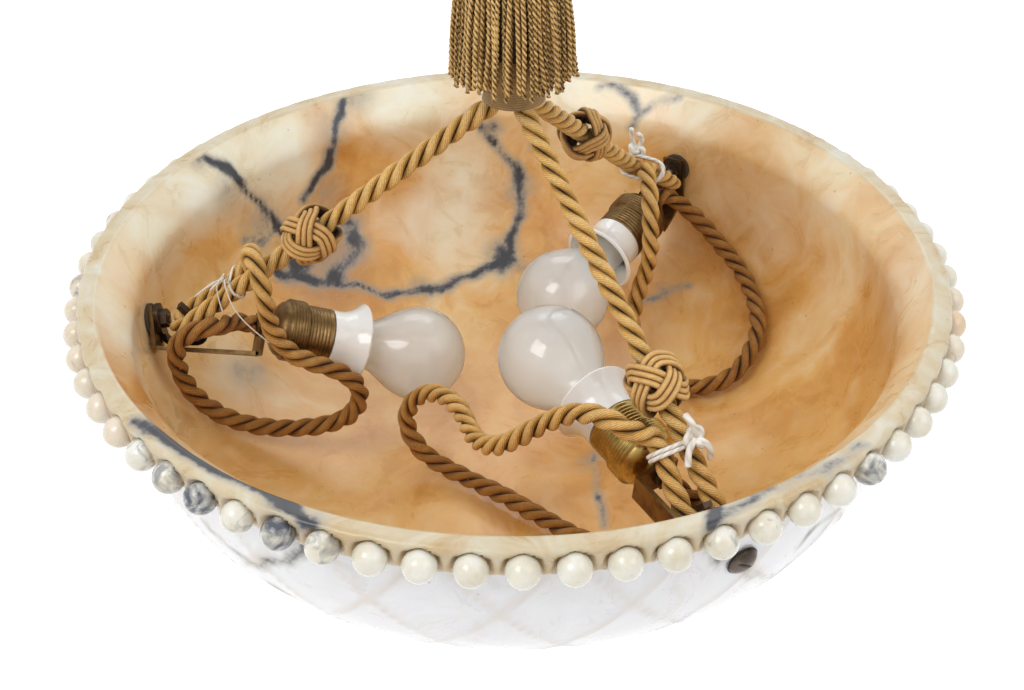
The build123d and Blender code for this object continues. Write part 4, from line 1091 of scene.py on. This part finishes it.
# ---- Tassel -----------------------------------------------------------------------------------
# A turned wooden mould carries a bullion fringe of two-ply cords; inside it the ropes are gripped
# by a ferrule on the eye rod and bound with cloth where they come out.


def wound_finish(name, pale, deep, ridge_size):
    # Thread wound round and round a turned core, painted darker between the turns: painted shade.
    material, tree, shader = new_finish(name)
    level = node(tree, "ShaderNodeSeparateXYZ", {0: own_place(tree)}).outputs[2]
    turns = ridges(tree, level, math.pi / ridge_size)
    patches, _ = place_soiling(tree, 60.0, 1500.0, 0.7)
    # Painted shade between the turns of thread; the patches are soiling.
    tone = overlaid(tree, pale, (patches, deep), (times(tree, minus(tree, 1.0, turns), 0.6), deep))
    fill(tree, shader, {"Base Color": tone, "Normal": bump(tree, 0.7, ridge_size * 0.3, turns),
                        "Roughness": 0.6, "Sheen Weight": 0.3})
    return material


dress(["tassel_mould"], wound_finish("mould_thread", (0.46, 0.28, 0.10), (0.16, 0.08, 0.03), 0.0009))
dress(["rope_binding"], wound_finish("binding_cloth", (0.40, 0.24, 0.08), (0.18, 0.10, 0.035), 0.0012))
dress(["rope_ferrule"], dark_iron)
dress(["eye_rod", "hanging_ring"], aged_brass)

fringe_yarn = yarn_finish("fringe_yarn", (0.80, 0.52, 0.19), (0.50, 0.28, 0.075), 2, 0.0, 0.0002, 0.3)
# Three layers of cords: how many, and the radius at their tops and at their ends.
fringe_layers = ((60, 0.0281, 0.0335), (48, 0.0266, 0.0295), (30, 0.0250, 0.0240))
fringe_top, fringe_end = lip_height + 0.1765, lip_height + 0.1175
band_radius, band_start, band_pitch = 0.0282, lip_height + 0.1752, 0.00135
chance = np.random.default_rng(11)
fringe_tubes, fringe_age = [], []
for count, top_radius, end_radius in fringe_layers:
    for index in range(count):
        a = 2 * math.pi * (index + 0.5 + chance.uniform(-0.12, 0.12)) / count
        top_out = np.array([math.cos(a), math.sin(a), 0])
        swing = a + chance.uniform(-0.06, 0.06)
        end_out = np.array([math.cos(swing), math.sin(swing), 0])
        top = top_out * top_radius + np.array([0, 0, fringe_top])
        end = end_out * (end_radius + chance.uniform(-0.0016, 0.0012))
        end[2] = fringe_end + chance.uniform(-0.003, 0.004)
        bow = top_out * chance.uniform(-0.0012, 0.0022)
        bow = bow + np.cross(top_out, (0, 0, 1)) * chance.uniform(-0.0012, 0.0012)
        share = np.linspace(0, 1, 34)[:, None]
        line = top * (1 - share) + end * share + bow * np.sin(share * math.pi)
        strands = laid_strands(line, 2, 0.00082, 0.00070, 0.0068, 6, start_angle=chance.uniform(0, 6))
        fringe_age += [np.full(len(strand[0]), chance.uniform(0.0, 0.9)) for strand in strands]
        fringe_tubes += strands
# Five turns of finer cord bind the fringe's head.
for band_turn in range(5):
    t = np.linspace(0, 2 * np.pi, 121)[:-1]
    t = np.append(t, t[:2] + 2 * np.pi)
    level = np.full(len(t), band_start + band_turn * band_pitch)
    line = np.stack([band_radius * np.cos(t), band_radius * np.sin(t), level], 1)
    strands = laid_strands(line, 2, 0.00052, 0.00040, 0.0045, 6)
    fringe_tubes += strands
    fringe_age += [np.full(len(strand[0]), 0.5) for strand in strands]
# Painted shade between the fringe's strands and a painted highlight on their crowns.
fringe = strands_mesh("bullion_fringe", fringe_tubes, age=np.concatenate(fringe_age),
                      groove=section_grooves(fringe_tubes, 6, 0.45, 0.9))
fringe.data.materials.append(fringe_yarn)
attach(fringe, "pendant")
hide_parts("tassel_fringe")

# ---- Room -------------------------------------------------------------------------------------
# A plain white floor a good way under the pendant, a white surround and three soft lamps.  None
# of it belongs to the pendant.
floor_half, floor_height = 9, -1.5
floor_mesh = new_mesh("floor", [(x * floor_half, y * floor_half, floor_height)
                                for x, y in ((-1, -1), (1, -1), (1, 1), (-1, 1))], [(0, 1, 2, 3)])
floor = new_piece("floor", floor_mesh)
floor_material, floor_tree, floor_shader = new_finish("floor_white")
fill(floor_tree, floor_shader, {"Base Color": (0.92, 0.92, 0.92, 1), "Roughness": 0.9})
paths = node(floor_tree, "ShaderNodeLightPath").outputs
seen = plus(floor_tree, paths["Is Camera Ray"], plus(
    floor_tree, paths["Is Glossy Ray"], paths["Is Transmission Ray"]), clamp=True)
glow = node(floor_tree, "ShaderNodeEmission", {"Color": (1, 1, 1, 1), "Strength": 0.55})
matt = floor_shader.outputs[0]
both = node(floor_tree, "ShaderNodeAddShader", {0: matt, 1: glow.outputs[0]})
chosen = node(floor_tree, "ShaderNodeMixShader", {0: seen, 1: matt, 2: both.outputs[0]})
fill(floor_tree, floor_tree.nodes["Material Output"], {"Surface": chosen.outputs[0]})
floor_mesh.materials.append(floor_material)

world = bpy.data.worlds.new("surround")
bpy.context.scene.world = world
world.use_nodes = True
world_tree = world.node_tree
paths = node(world_tree, "ShaderNodeLightPath").outputs
plain = plus(world_tree, paths["Is Camera Ray"], paths["Is Transmission Ray"], clamp=True)
fill(world_tree, world_tree.nodes["Background"], {
    "Color": (1, 1, 1, 1), "Strength": spread(world_tree, plain, 0.0, 1.0, 1.0, 0.80)})

lamp_aim = Vector((0, 0, -0.30))
for name, place, size, power in (
    ("key", (-0.9, -0.9, 1.1), (0.9, 0.9), 11.0),
    ("fill", (1.1, -0.7, 0.7), (1.0, 1.0), 3.5),
    ("back", (0.1, 1.3, 0.9), (1.2, 0.7), 4.0),
):
    lamp_data = bpy.data.lights.new(name, "AREA")
    lamp_data.shape = "RECTANGLE"
    lamp_data.size, lamp_data.size_y = size
    lamp_data.energy = power
    lamp = new_piece(name, lamp_data)
    lamp.location = place
    lamp.rotation_euler = (lamp_aim - Vector(place)).to_track_quat("-Z", "Y").to_euler()
